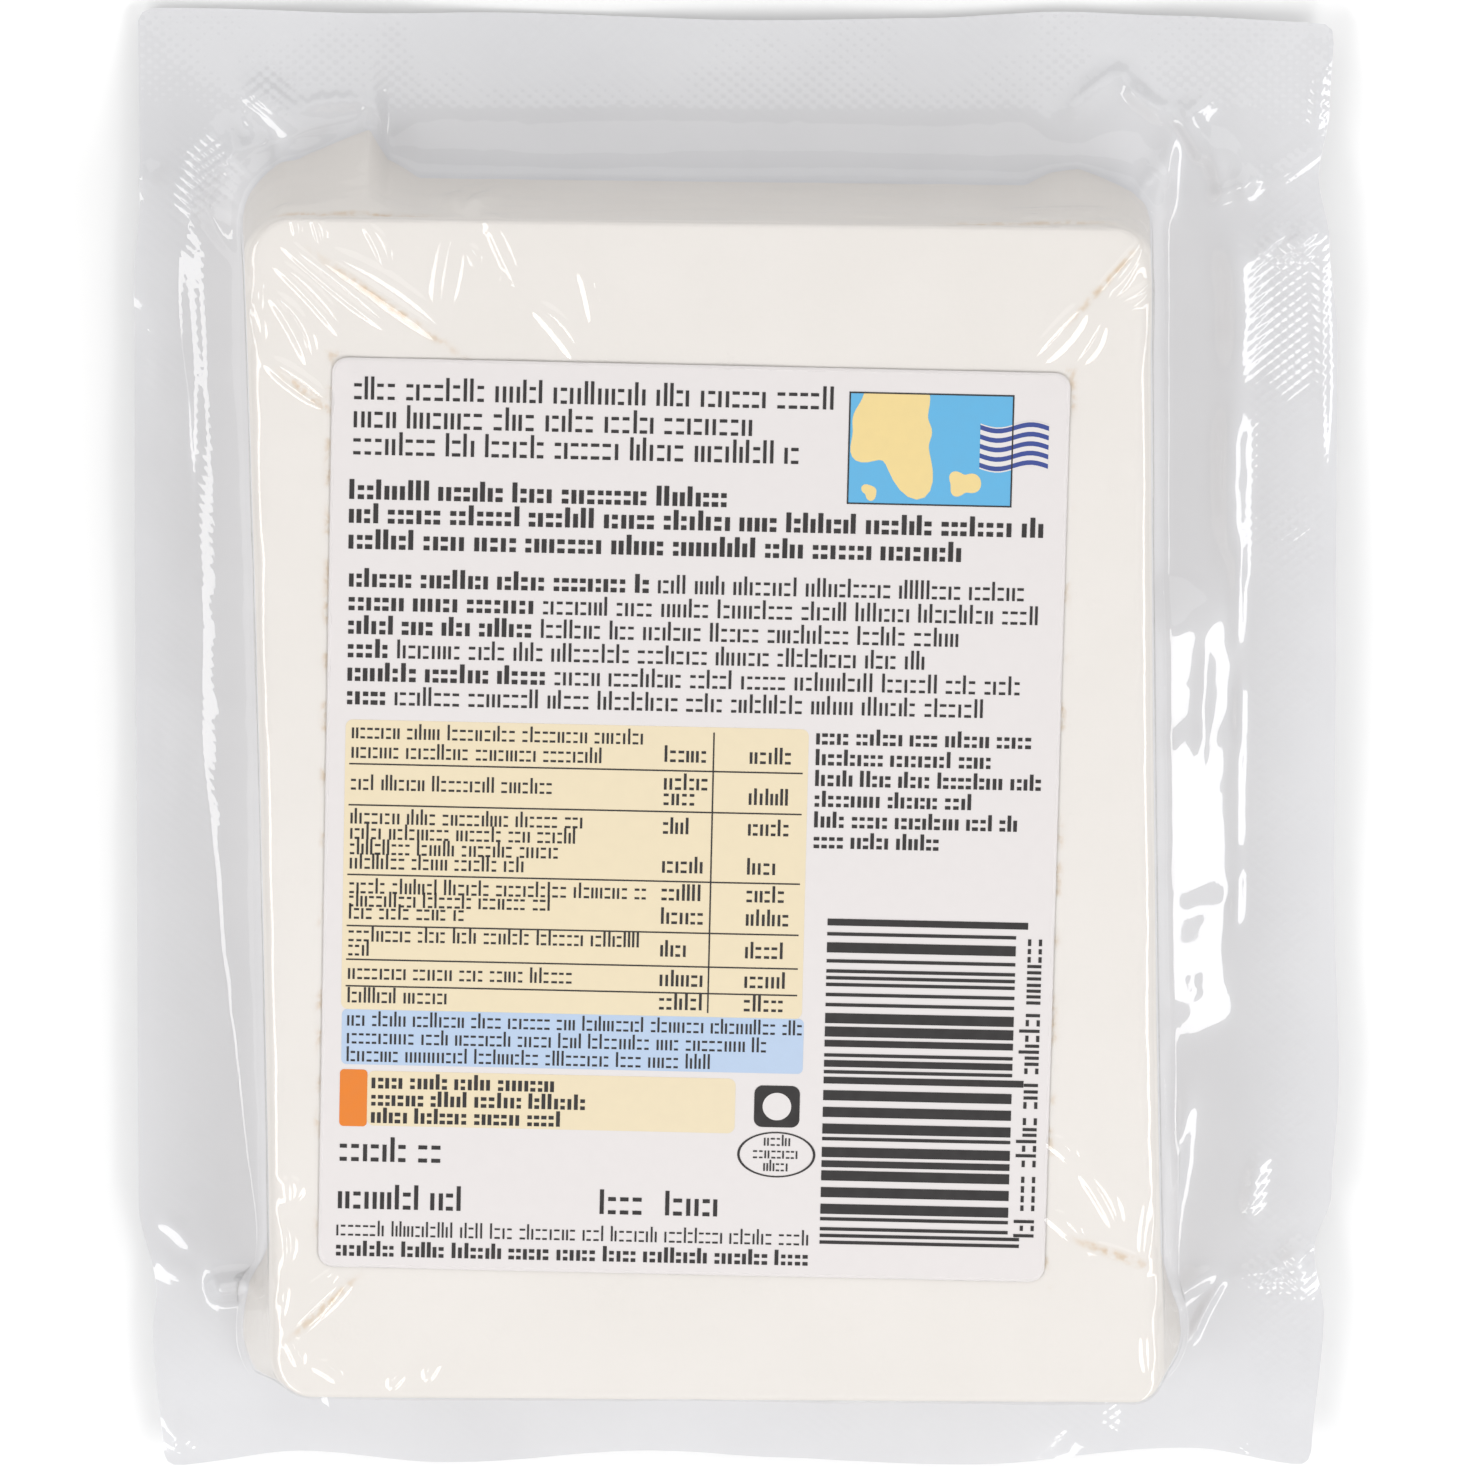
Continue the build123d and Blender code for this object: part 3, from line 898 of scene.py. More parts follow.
# %% Make the backing film's flange
sealed_reach = np.linalg.norm(sealed[0, :, :2] - block_foot, axis=1)
lip_rows = []
for angle in np.linspace(0, QUARTER_TURN, 12, endpoint=False):
    reach = sealed_reach * (1 - np.cos(angle)) - LIP_TUCK * np.cos(angle)
    plan = block_foot + outward * reach[:, None]
    lip_rows.append(np.column_stack([plan, lip_top - lip_rise * np.sin(angle)]))
backing_points = np.concatenate([np.array(lip_rows), sealed - (0, 0, SEAL_GAP)])[:, ::2]
backing_faces = ring_faces(len(backing_points), pan_columns)
backing_flange = add_mesh("backing_flange", backing_points.reshape(-1, 3), backing_faces)
backing_pieces = [backing_pan, backing_flange]

# %% [markdown]
# ## The label
#
# A sheet of coated paper with small round corners. It lies on the film and follows the block's
# face, which is nearly flat under it. It gets its own rings of points, closer together near its
# edge, and a thin side all round that turns down to the film. A bevelled box would do for card,
# but this paper is a tenth of a millimetre thick, and rows of points let it lie as paper lies.


# %% The paper's upper face
def label_surface(right, down):
    """The paper's upper face at a place given from the label's top left corner, in the frame."""
    offset_right, offset_up = right - LABEL_SIZE[0] / 2, LABEL_SIZE[1] / 2 - down
    cosine, sine = math.cos(LABEL_TURN), math.sin(LABEL_TURN)
    x = label_middle[0] + offset_right * cosine - offset_up * sine
    y = label_middle[1] + offset_right * sine + offset_up * cosine
    relief = 0.03 * noise(x / 11, y / 11, 81)
    corner_lift = 0.10 * ridge(np.column_stack([right, down]), (-3, -3), (5, 4), 1.0, 1.2)
    return np.column_stack([x, y, label_high[2] + relief + corner_lift])


print("the paper's middle lies at", label_surface(*LABEL_SIZE[:, None] / 2).round(2)[0])

# %% A rectangle with round corners
MIN_POINTS = 36


def rounded_rectangle(left, top, right, bottom, radius, step=1.0):
    """A closed row of points round a rectangle with round corners, in label places."""
    places = []
    for middle_right, middle_down, turn in (
        (right - radius, top + radius, -90), (right - radius, bottom - radius, 0),
        (left + radius, bottom - radius, 90), (left + radius, top + radius, 180),
    ):
        angle = np.radians(np.linspace(turn, turn + 90, 9))
        arc = np.column_stack([np.cos(angle), np.sin(angle)])
        places.append((middle_right, middle_down) + radius * arc)
    closed = np.concatenate([*places, places[0][:1]])
    distance = np.concatenate([[0], np.cumsum(np.linalg.norm(np.diff(closed, axis=0), axis=1))])
    number = max(int(distance[-1] / step), MIN_POINTS)
    even = np.linspace(0, distance[-1], number, endpoint=False)
    stops = np.sort(np.concatenate([even, distance[1:-1]]))
    return np.column_stack([np.interp(stops, distance, closed[:, axis]) for axis in (0, 1)])


LABEL_CORNER_RADIUS = 1.3
label_row = rounded_rectangle(0, 0, *LABEL_SIZE, LABEL_CORNER_RADIUS)
print(len(label_row), "points round the label")

# %% Make the label's paper
LABEL_THICKNESS = 0.1
EDGE_SPREAD = 0.2  # how far the cut edge's foot stands outside its top
EDGE_SINK = 0.02  # how far it reaches into the film

label_centre = LABEL_SIZE / 2
label_points = []
for share in (*np.linspace(0.04, 0.97, 28), 0.997, 1.0):
    label_points.append(label_surface(*(label_centre + (label_row - label_centre) * share).T))
corner_middle = np.clip(label_row, LABEL_CORNER_RADIUS, LABEL_SIZE - LABEL_CORNER_RADIUS)
away = (label_row - corner_middle) / LABEL_CORNER_RADIUS
under_edge = label_surface(*(label_row + EDGE_SPREAD * away).T)
under_edge[:, 2] -= LABEL_THICKNESS + EDGE_SINK
label_points.append(under_edge)
label_faces = [face[::-1] for face in ring_faces(len(label_points), len(label_row))]
label_faces.append(list(range(len(label_row))))
label = add_mesh("label_paper", np.concatenate(label_points), label_faces)

# %% [markdown]
# ## What is printed on the label
#
# The print is laid out as on such a label: a heading, lines of small print, a table on a cream
# ground, a pale blue note, a date box, a small picture and a bar pattern. None of it can be read.
# A line of print is a row of small upright strokes of uneven height, gathered into words, and the
# bars' widths are drawn by lot. Every patch of ink is a thin mesh just above the paper, so that
# it stays sharp at any distance, which a painted texture of ordinary size wouldn't.


# %% Patches of ink
class InkLayer:
    """Gathers the patches of one ink and makes them into one mesh.

    Places are in millimetres, right and down from the label's top left corner.
    """

    def __init__(self, lift):
        self.lift = lift
        self.places, self.faces = [], []

    def rows(self, rows, closed=False):
        """Patches between rows of places; closed joins each row's two ends."""
        first, length = len(self.places), len(rows[0])
        for row in rows:
            self.places.extend(map(tuple, row))
        for start in range(first, first + (len(rows) - 1) * length, length):
            for column in range(length if closed else length - 1):
                here, beside = start + column, start + (column + 1) % length
                self.faces.append((here, here + length, beside + length, beside))

    def box(self, left, top, right, bottom, step=4.0):
        """An upright rectangle, cut into cells so that it follows the paper."""
        across = np.linspace(left, right, max(2, int((right - left) / step) + 2))
        down = np.linspace(top, bottom, max(2, int((bottom - top) / step) + 2))
        self.rows([[(x, y) for x in across] for y in down])

    def disc(self, outline_places, hole=0.0):
        """A closed outline filled inwards to its middle, or to a hole of the same shape."""
        places = np.asarray(outline_places)
        middle = (places.min(0) + places.max(0)) / 2
        reach = np.linalg.norm(places - middle, axis=1).max()
        shares = np.linspace(1, max(hole, 0.05), int(reach / 2) + 4)
        self.rows([middle + (places - middle) * share for share in shares], closed=True)
        if not hole:
            innermost = range(len(self.places) - len(places), len(self.places))
            self.faces.append(tuple(reversed(innermost)))

    def make(self, name):
        """The mesh, as far above the paper as this ink lies."""
        points = label_surface(*np.array(self.places).T)
        points[:, 2] += self.lift
        return add_mesh(name, points, self.faces)


trial = InkLayer(lift=0.0)
trial.box(0, 0, 8, 4)
print("a box of 8 by 4 mm would be cut into", len(trial.faces), "cells")

# %% A line of print
LIGHT, FINE, MEDIUM, SEMI_BOLD, BOLD = 0.12, 0.14, 0.16, 0.22, 0.24  # a stroke's width
HALF_HEIGHT, TALL = 0.35, 0.66  # all of these are shares of the line's height
WORD_LENGTH, WORD_GAP = (1.2, 4.2), 0.34
DASH_LENGTH, STROKE_GAP = (0.26, 0.36), (0.12, 0.18)
print_random = np.random.default_rng(11)


def line_of_print(layer, left, right, middle, height, weight, turned=False):
    """Words of small strokes, none of which is a letter. turned runs the line down the label."""
    half, stroke = height * HALF_HEIGHT, height * weight
    at = left
    while at < right - height * 0.5:
        word_end = min(at + height * print_random.uniform(*WORD_LENGTH), right)
        while at < word_end:
            kind = print_random.choice(["upright", "upright", "tall", "dashes", "dashes"])
            width = stroke if kind != "dashes" else height * print_random.uniform(*DASH_LENGTH)
            above = height * TALL if kind == "tall" else half
            spans = [(-above, half)]
            if kind == "dashes":
                spans = [(-half, -half + stroke), (half - stroke, half)]
            for upper, lower in spans:
                if turned:
                    layer.box(middle + upper, at, middle + lower, at + width)
                else:
                    layer.box(at, middle + upper, at + width, middle + lower)
            at += width + height * print_random.uniform(*STROKE_GAP)
        at += height * WORD_GAP
    return at


def lines_of_print(layer, left, rights, first, spacing, height, weight):
    """Lines under one another, each of which ends at its own place on the right."""
    for number, right in enumerate(rights):
        line_of_print(layer, left, right, first + number * spacing, height, weight)


print("a word of 2 mm print is", [2 * share for share in WORD_LENGTH], "mm long")

# %% [markdown]
# ### Fields of colour
#
# These lie lowest: the table's cream ground, the blue note under it, the date box with its orange
# tab, and the blue ground of the picture.

# %% Print the fields
TABLE_FIELD = (1.6, 34.7, 45.1, 63.0)  # left, top, right, bottom
DATE_FIELD = (4.2, 69.0, 39.0, 74.4)
NOTE_FIELD = (1.7, 63.0, 45.3, 68.4)
DATE_TAB = (1.6, 68.9, 4.2, 74.5)
PICTURE_FIELD = (48.1, 2.0, 63.5, 12.8)

cream = InkLayer(lift=0.015)
for field in (TABLE_FIELD, DATE_FIELD):
    cream.disc(rounded_rectangle(*field, radius=0.7, step=2.0))
cream_ink = cream.make("ink_cream_fields")

pale_blue = InkLayer(lift=0.02)
pale_blue.disc(rounded_rectangle(*NOTE_FIELD, radius=0.5, step=2.0))
pale_blue_ink = pale_blue.make("ink_pale_blue_note")

orange = InkLayer(lift=0.03)
orange.disc(rounded_rectangle(*DATE_TAB, radius=0.4, step=1.0))
orange_ink = orange.make("ink_orange_tab")

sea = InkLayer(lift=0.015)
sea.box(*PICTURE_FIELD, step=2.0)
sea_ink = sea.make("ink_blue_picture")

# %% [markdown]
# ### The small picture
#
# The picture is a plain sandy shape on blue with a striped pennant beside it. The shapes are made
# up: a lobed patch, two small ones, and a pennant whose edges wave.


# %% Print the sand
def lobed(right, down, radius, lobes, depth, seed):
    """A round patch about a middle, whose edge goes in and out."""
    random = np.random.default_rng(seed)
    angle = np.linspace(0, 2 * np.pi, 60, endpoint=False)
    swell = 1
    for wave in range(2, lobes):
        swell = swell + depth / wave * np.sin(wave * angle + random.uniform(0, 2 * np.pi))
    reach = radius * swell
    return np.column_stack([right + reach * np.cos(angle), down + reach * np.sin(angle)])


SAND_PATCHES = [  # right, down, radius, lobes, depth, seed
    (52.4, 5.4, 4.6, 7, 0.45, 5), (59.0, 10.6, 1.3, 5, 0.4, 2), (50.2, 11.6, 0.7, 4, 0.4, 4),
]
sand = InkLayer(lift=0.025)
for patch in SAND_PATCHES:
    sand.disc(np.clip(lobed(*patch), PICTURE_FIELD[:2], PICTURE_FIELD[2:]))
sand_ink = sand.make("ink_sand_picture")

# %% Print the pennant
PENNANT = (60.4, 4.9, 66.8, 9.0)
PENNANT_STRIPES = 9
PENNANT_WAVE = 0.35


def pennant_stripe(layer, first, last):
    """A wavy band across the pennant, from one share of its height to another."""
    left, top, right, bottom = PENNANT
    across = np.linspace(left, right, 14)
    wave = PENNANT_WAVE * np.sin((across - left) / (right - left) * 2 * np.pi)
    shares = (first, (first + last) / 2, last)
    layer.rows([np.column_stack([across, top + wave + (bottom - top) * share]) for share in shares])


pennant_white, pennant_blue = InkLayer(lift=0.032), InkLayer(lift=0.04)
pennant_stripe(pennant_white, -0.03, 1.03)
for stripe in range(0, PENNANT_STRIPES, 2):
    pennant_stripe(pennant_blue, stripe / PENNANT_STRIPES, (stripe + 1) / PENNANT_STRIPES)
pennant_white_ink = pennant_white.make("ink_white_pennant")
pennant_blue_ink = pennant_blue.make("ink_blue_pennant")

# %% [markdown]
# ### Black ink
#
# Everything else is black: the lines of print, the rules of the table, the frame of the picture,
# the bars and two small signs. The signs stand in the lower part: a dark square with a pale disc,
# and an oval ring round three short rows of strokes.

# %% Print the heading and the ingredients
HEADING = [(3.0, 46.7), (5.7, 40.7), (8.3, 43.8)]  # middle, right end
BOLD_LINES = [(12.7, 38.7), (15.0, 66.8), (17.5, 59.4)]
INGREDIENTS = [  # end of the bold part, right end
    (30.0, 66.0), (19.0, 66.3), (19.0, 59.0), (5.0, 56.0), (20.0, 65.0), (5.0, 62.8),
]
black = InkLayer(lift=0.045)

for middle, right in HEADING:
    line_of_print(black, 1.9, right, middle, height=2.2, weight=FINE)
for middle, right in BOLD_LINES:
    line_of_print(black, 1.6, right, middle, height=1.9, weight=BOLD)
for number, (bold_to, right) in enumerate(INGREDIENTS):
    middle = 21.2 + number * 2.28
    after = line_of_print(black, 1.7, bold_to, middle, height=1.8, weight=BOLD)
    line_of_print(black, after, right, middle, height=1.8, weight=FINE)
print(len(black.faces), "cells of black ink so far")

# %% Print the table
TABLE_LINES = [  # middle, right end
    (36.0, 29.5), (37.9, 27.0), (41.0, 22.0), (44.3, 24.0), (45.8, 23.5), (47.3, 21.5), (48.7, 19.5),
    (51.1, 30.0), (52.4, 21.0), (53.6, 13.0), (55.8, 29.5), (57.2, 5.0), (59.5, 23.0), (61.8, 11.5),
]
TABLE_VALUES = [37.6, 40.3, 41.8, 44.6, 48.4, 51.1, 53.4, 56.6, 59.5, 61.8]
TABLE_SHARES = [37.6, 41.6, 44.6, 48.4, 51.1, 53.4, 56.6, 59.5, 61.8]

for middle, right in TABLE_LINES:
    line_of_print(black, 2.2, right, middle, height=1.5, weight=FINE)
for middle in TABLE_VALUES:
    line_of_print(black, 31.6, 35.5, middle, height=1.6, weight=MEDIUM)
for middle in TABLE_SHARES:
    line_of_print(black, 39.6, 43.3, middle, height=1.6, weight=MEDIUM)
print(len(black.faces), "cells of black ink so far")

# %% Print what stands beside and below the table
STORAGE_RIGHTS = (65.6, 62.6, 66.8, 60.4, 65.0, 57.8)
NOTE_RIGHTS = (45.0, 41.5, 37.5)
DATE_RIGHTS = (21.5, 24.5, 22.5)
FIGURES = [  # left end, right end, middle
    (1.7, 11.5, 77.1), (1.6, 13.2, 81.8), (26.4, 29.9, 81.8), (32.6, 39.4, 81.8),
]

lines_of_print(black, 45.8, STORAGE_RIGHTS, 35.6, spacing=2.02, height=1.55, weight=SEMI_BOLD)
lines_of_print(black, 2.2, NOTE_RIGHTS, 64.1, spacing=1.75, height=1.45, weight=FINE)
lines_of_print(black, 4.6, DATE_RIGHTS, 70.2, spacing=1.7, height=1.5, weight=BOLD)
for left, right, middle in FIGURES:
    line_of_print(black, left, right, middle, height=2.4, weight=MEDIUM)
line_of_print(black, 1.5, 46.4, 84.8, height=1.5, weight=LIGHT)
line_of_print(black, 1.5, 46.2, 86.8, height=1.5, weight=BOLD)
print(len(black.faces), "cells of black ink in the lines")

# %% Print the rules and the frame of the picture
RULE = 0.14
TABLE_RULES = [39.0, 43.0, 49.8, 54.8, 58.1, 60.7]
TABLE_LEFT, TABLE_TOP, TABLE_RIGHT, TABLE_BOTTOM = 2.0, 35.2, 44.6, 62.6
TABLE_COLUMN = 36.2

for middle in TABLE_RULES:
    black.box(TABLE_LEFT, middle - RULE / 2, TABLE_RIGHT, middle + RULE / 2)
black.box(TABLE_COLUMN - RULE / 2, TABLE_TOP, TABLE_COLUMN + RULE / 2, TABLE_BOTTOM)
left, top, right, bottom = PICTURE_FIELD
for box in ((left, top, right, top + RULE), (left, bottom - RULE, right, bottom),
            (left, top, left + RULE, bottom), (right - RULE, top, right, bottom)):
    black.box(*box)
print(len(TABLE_RULES), "rules across the table, and a frame", RULE, "mm wide")

# %% Print the bars and the row of strokes beside them
BARS_LEFT, BARS_TOP, BARS_RIGHT, BARS_BOTTOM = 47.3, 53.1, 65.1, 85.3
GUARDS_RIGHT = 66.2  # the longer bars at both ends and in the middle
BAR_STEP = 0.33

at = BARS_TOP
while at < BARS_BOTTOM:
    width = BAR_STEP * print_random.choice([1, 1, 2, 3])
    from_middle = abs(at - (BARS_TOP + BARS_BOTTOM) / 2)
    is_guard = at < BARS_TOP + 1 or at > BARS_BOTTOM - 1.2 or from_middle < 0.7
    bar_end = min(at + width, BARS_BOTTOM + 0.2)
    black.box(BARS_LEFT, at, GUARDS_RIGHT if is_guard else BARS_RIGHT, bar_end)
    at += width + BAR_STEP * print_random.choice([1, 1, 2, 2])
line_of_print(
    black, BARS_TOP + 1.6, BARS_BOTTOM - 1.0, 66.9, height=1.9, weight=MEDIUM, turned=True,
)
print("the bars end at", round(at, 1), "of", BARS_BOTTOM)

# %% Print the two signs
SIGN = (40.8, 69.6, 45.1, 73.7)
SIGN_DISC_RADIUS = 1.35
OVAL_MIDDLE, OVAL_HALF = np.array([43.0, 76.4]), np.array([3.7, 2.25])
OVAL_ROWS = [(-1.25, 1.2), (0.0, 2.2), (1.25, 1.2)]  # how far down from the middle, half length

black.disc(rounded_rectangle(*SIGN, radius=0.8, step=0.5))
angle = np.linspace(0, 2 * np.pi, 72, endpoint=False)
circle = np.column_stack([np.cos(angle), np.sin(angle)])
black.disc(circle * OVAL_HALF + OVAL_MIDDLE, hole=1 - RULE / OVAL_HALF[1])
for down, half in OVAL_ROWS:
    left, right = OVAL_MIDDLE[0] - half, OVAL_MIDDLE[0] + half
    line_of_print(black, left, right, OVAL_MIDDLE[1] + down, height=1.1, weight=FINE)
black_ink = black.make("ink_black_print")

sign_disc = InkLayer(lift=0.06)
sign_middle = np.array([(SIGN[0] + SIGN[2]) / 2, (SIGN[1] + SIGN[3]) / 2])
sign_disc.disc(circle * SIGN_DISC_RADIUS + sign_middle)
sign_ink = sign_disc.make("ink_white_sign")

# %% [markdown]
# ## Helpers for materials
#
# Colours are written as they look on a screen. Blender's shaders work in linear light, so one
# function turns them over. Another adds a node, and every material is built with those two.
# Most inputs go by name, and those that share a name go by number. A sum's two values are inputs
# 0 and 1. A colour mix has its factor at 0, its two colours at 6 and 7 and its result at output 2.


# %% Material helpers
def linear(colour):
    """A linear RGBA colour from sRGB hex digits."""
    values = np.array([int(colour[place : place + 2], 16) for place in (1, 3, 5)]) / 255
    return [*np.where(values <= 0.04045, values / 12.92, ((values + 0.055) / 1.055) ** 2.4), 1]


def new_material(name):
    """A material with no nodes yet."""
    material = bpy.data.materials.new(name)
    material.use_nodes = True
    material.node_tree.nodes.clear()
    return material


def add_node(material, kind, inputs=None, **settings):
    """A node with its settings; each input takes a value or another node's output."""
    node = material.node_tree.nodes.new(kind)
    for setting, value in settings.items():
        setattr(node, setting, value)
    for place, value in (inputs or {}).items():
        if isinstance(value, bpy.types.NodeSocket):
            material.node_tree.links.new(value, node.inputs[place])
        else:
            node.inputs[place].default_value = value
    return node


print("a middle grey in linear light is", round(linear("#808080")[0], 3))

# %% [markdown]
# ## Clear barrier film
#
# The upper film is polyamide laminated to polyethylene, cast and chilled, then pulled tight by the
# vacuum. It is clear and glossy, and what the eye sees of it is only what it reflects. Each of its
# two faces turns back about 4% of the light straight on, so one sheet that stands for both turns
# back 7%. The share grows with the fifth power as the light comes in flatter, up to 40% here: a
# single sheet has no far side to pass the rest on to, and more would draw a dark outline. Drawn
# film is never quite smooth. It has a waviness a few millimetres long, and its reflections are a
# little soft. Along the seal bars it is pressed with small diamonds, 0.8 mm apart. A value called
# seal says how deep they are at each point.
#
# A glass shader is the usual choice for something clear, but it takes each sheet for the skin of
# a solid body and bends what lies behind it. Gloss mixed into plain transparency bends nothing.

# %% Say where the seal bars pressed
SEAL_BANDS = {  # where the band starts and ends, out from the pack's middle, and how deep it is
    "top": (61.7, 71.0, 1.0),
    "right": (48.7, 55.6, 0.9),
    "left": (49.4, 56.0, 0.35),
    "bottom": (63.0, 69.0, 0.25),
}
DEEP_MARKS = [  # x, y, radius, how much deeper
    (-49.6, 56.6, 2.6, 3.0), (-51.0, 53.2, 1.8, 2.5), (-43.8, 64.0, 2.4, 2.0),
    (48.6, 66.0, 4.0, 1.5), (52.0, 48.0, 3.0, 2.0), (52.0, 42.5, 3.0, 2.0),
    (52.2, 37.0, 3.0, 2.0), (52.6, 21.0, 3.0, 1.5), (51.2, -52.8, 2.0, 2.5),
]


def seal_value(points):
    """How deeply the seal bars marked each point, about 1 where they pressed fully."""
    x, y = points[:, 0], points[:, 1]
    wander = 0.25 * noise(x / 9, y / 9, 91)
    marks = np.zeros(len(points))
    for side, distance in (("top", y), ("bottom", -y), ("right", x), ("left", -x)):
        low, high, depth = SEAL_BANDS[side]
        inner = smooth_step(low - 0.3, low + 0.5, distance + wander)
        outer = smooth_step(high + 0.4, high - 0.4, distance)
        marks = np.maximum(marks, depth * inner * outer)
    patchy = smooth_step(-0.7, 0.3, noise(x / 6, y / 6, 92))
    marks = marks * (0.45 + 0.55 * patchy)
    for middle_x, middle_y, radius, depth in DEEP_MARKS:
        marks += depth * np.exp(-(((x - middle_x) ** 2 + (y - middle_y) ** 2) / radius**2))
    return marks


def mark_seal(piece, points):
    """Stores the seal value on a piece."""
    marks = seal_value(points.reshape(-1, 3)).astype(np.float32)
    piece.data.attributes.new("seal", "FLOAT", "POINT").data.foreach_set("value", marks)
    print(piece.name, "has diamonds on", round(100 * float((marks > 0.2).mean())), "% of its points")


mark_seal(film_pieces["film_flange"], film_points[FLANGE_START:])
mark_seal(backing_flange, backing_points)
mark_seal(backing_pan, pan_points)

# %% Draw the diamonds
KNURL_PITCH = 0.8
KNURL_TURN = math.radians(52)


def knurl_height(material, place):
    """The pressed diamonds: two sets of slanting ridges, as deep as the seal value says."""
    slants = []
    for turn in (KNURL_TURN, -KNURL_TURN):
        mapped = add_node(material, "ShaderNodeMapping", {
            "Vector": place, "Rotation": (0, 0, turn),
        })
        # A wave texture's bands are pi / (10 * scale) apart.
        wave = add_node(material, "ShaderNodeTexWave", {
            "Vector": mapped.outputs[0], "Scale": math.pi / 10 / (KNURL_PITCH * MM),
        })
        slants.append(wave.outputs["Fac"])
    both = add_node(material, "ShaderNodeMath", {0: slants[0], 1: slants[1]}, operation="ADD")
    seal = add_node(material, "ShaderNodeAttribute", attribute_name="seal")
    depth = add_node(material, "ShaderNodeMath", {
        0: both.outputs[0], 1: seal.outputs["Fac"],
    }, operation="MULTIPLY")
    return depth.outputs[0]


print("the diamonds are", KNURL_PITCH, "mm apart")

# %% Make the clear film's material
FILM_REFLECTANCE = 0.07
GRAZING_REFLECTANCE = 0.4


def clear_barrier_film(name, knurled):
    """Gloss mixed into plain transparency, by how flat the light comes in."""
    material = new_material(name)
    place = add_node(material, "ShaderNodeTexCoord").outputs["Object"]
    waves = add_node(material, "ShaderNodeTexNoise", {
        "Vector": place, "Scale": 1 / (3.0 * MM), "Detail": 3.0,
    })
    bump = add_node(material, "ShaderNodeBump", {
        "Height": waves.outputs[0], "Strength": 0.5, "Distance": 0.03 * MM,
    })
    normal = bump.outputs[0]
    if knurled:
        pressed = add_node(material, "ShaderNodeBump", {
            "Height": knurl_height(material, place), "Normal": normal,
            "Strength": 1.0, "Distance": 0.025 * MM,
        })
        normal = pressed.outputs[0]
    flatness = add_node(material, "ShaderNodeLayerWeight", {"Blend": 0.5, "Normal": normal})
    grazing = add_node(material, "ShaderNodeMath", {
        0: flatness.outputs["Facing"], 1: 5.0,
    }, operation="POWER")
    mirrored = add_node(material, "ShaderNodeMapRange", {
        "Value": grazing.outputs[0], "To Min": FILM_REFLECTANCE, "To Max": GRAZING_REFLECTANCE,
    })
    clear = add_node(material, "ShaderNodeBsdfTransparent", {"Color": linear("#FDFDFD")})
    gloss = add_node(material, "ShaderNodeBsdfGlossy", {"Roughness": 0.05, "Normal": normal})
    film = add_node(material, "ShaderNodeMixShader", {
        0: mirrored.outputs[0], 1: clear.outputs[0], 2: gloss.outputs[0],
    })
    add_node(material, "ShaderNodeOutputMaterial", {"Surface": film.outputs[0]})
    print(name, "with", len(material.node_tree.nodes), "nodes")
    return material


drawn_film = clear_barrier_film("clear_barrier_film_drawn", knurled=False)
sealed_film = clear_barrier_film("clear_barrier_film_sealed", knurled=True)
for name, piece in film_pieces.items():
    piece.data.materials.append(sealed_film if name == "film_flange" else drawn_film)

# %% [markdown]
# ## White backing film
#
# The lower film is polyethylene filled with a white pigment, cast against a smooth roll. It is
# dense, a little blue beside the cheese, and half gloss. The seal bars' diamonds go through both
# films, so the same pattern is pressed into it. They could be modelled, but they are only a few
# hundredths of a millimetre deep, and a bump is enough for that.


# %% Make the backing film's material
def white_backing_film():
    """A half-gloss white, faintly clouded."""
    material = new_material("white_backing_film")
    place = add_node(material, "ShaderNodeTexCoord").outputs["Object"]
    clouds = add_node(material, "ShaderNodeTexNoise", {
        "Vector": place, "Scale": 1 / (14 * MM), "Detail": 3.0,
    })
    pigment = add_node(material, "ShaderNodeMix", {
        0: clouds.outputs[0], 6: linear("#E6E6E9"), 7: linear("#F0F0F2"),
    }, data_type="RGBA")
    pressed = add_node(material, "ShaderNodeBump", {
        "Height": knurl_height(material, place), "Strength": 0.7, "Distance": 0.025 * MM,
    })
    film = add_node(material, "ShaderNodeBsdfPrincipled", {
        "Base Color": pigment.outputs[2], "Roughness": 0.36, "IOR": 1.5, "Normal": pressed.outputs[0],
    })
    add_node(material, "ShaderNodeOutputMaterial", {"Surface": film.outputs[0]})
    return material


backing_material = white_backing_film()
for piece in backing_pieces:
    piece.data.materials.append(backing_material)
print(backing_material.name, "on", [piece.name for piece in backing_pieces])

# %% [markdown]
# ## Feta curd
#
# Feta is drained curd cut from a slab. It is a warm white with faint darker and lighter clouds, a
# grain about a millimetre across where the curds knit, and small holes left by whey. Wet with
# brine under the film it is less matt than dry cheese. Along the film's folds and under the block's
# top edge a light brown is painted in as shade, and beside the label there are real brownish marks.
# Two noises, one for the clouds and one for the grain, give all of this and never repeat, as an
# image would.


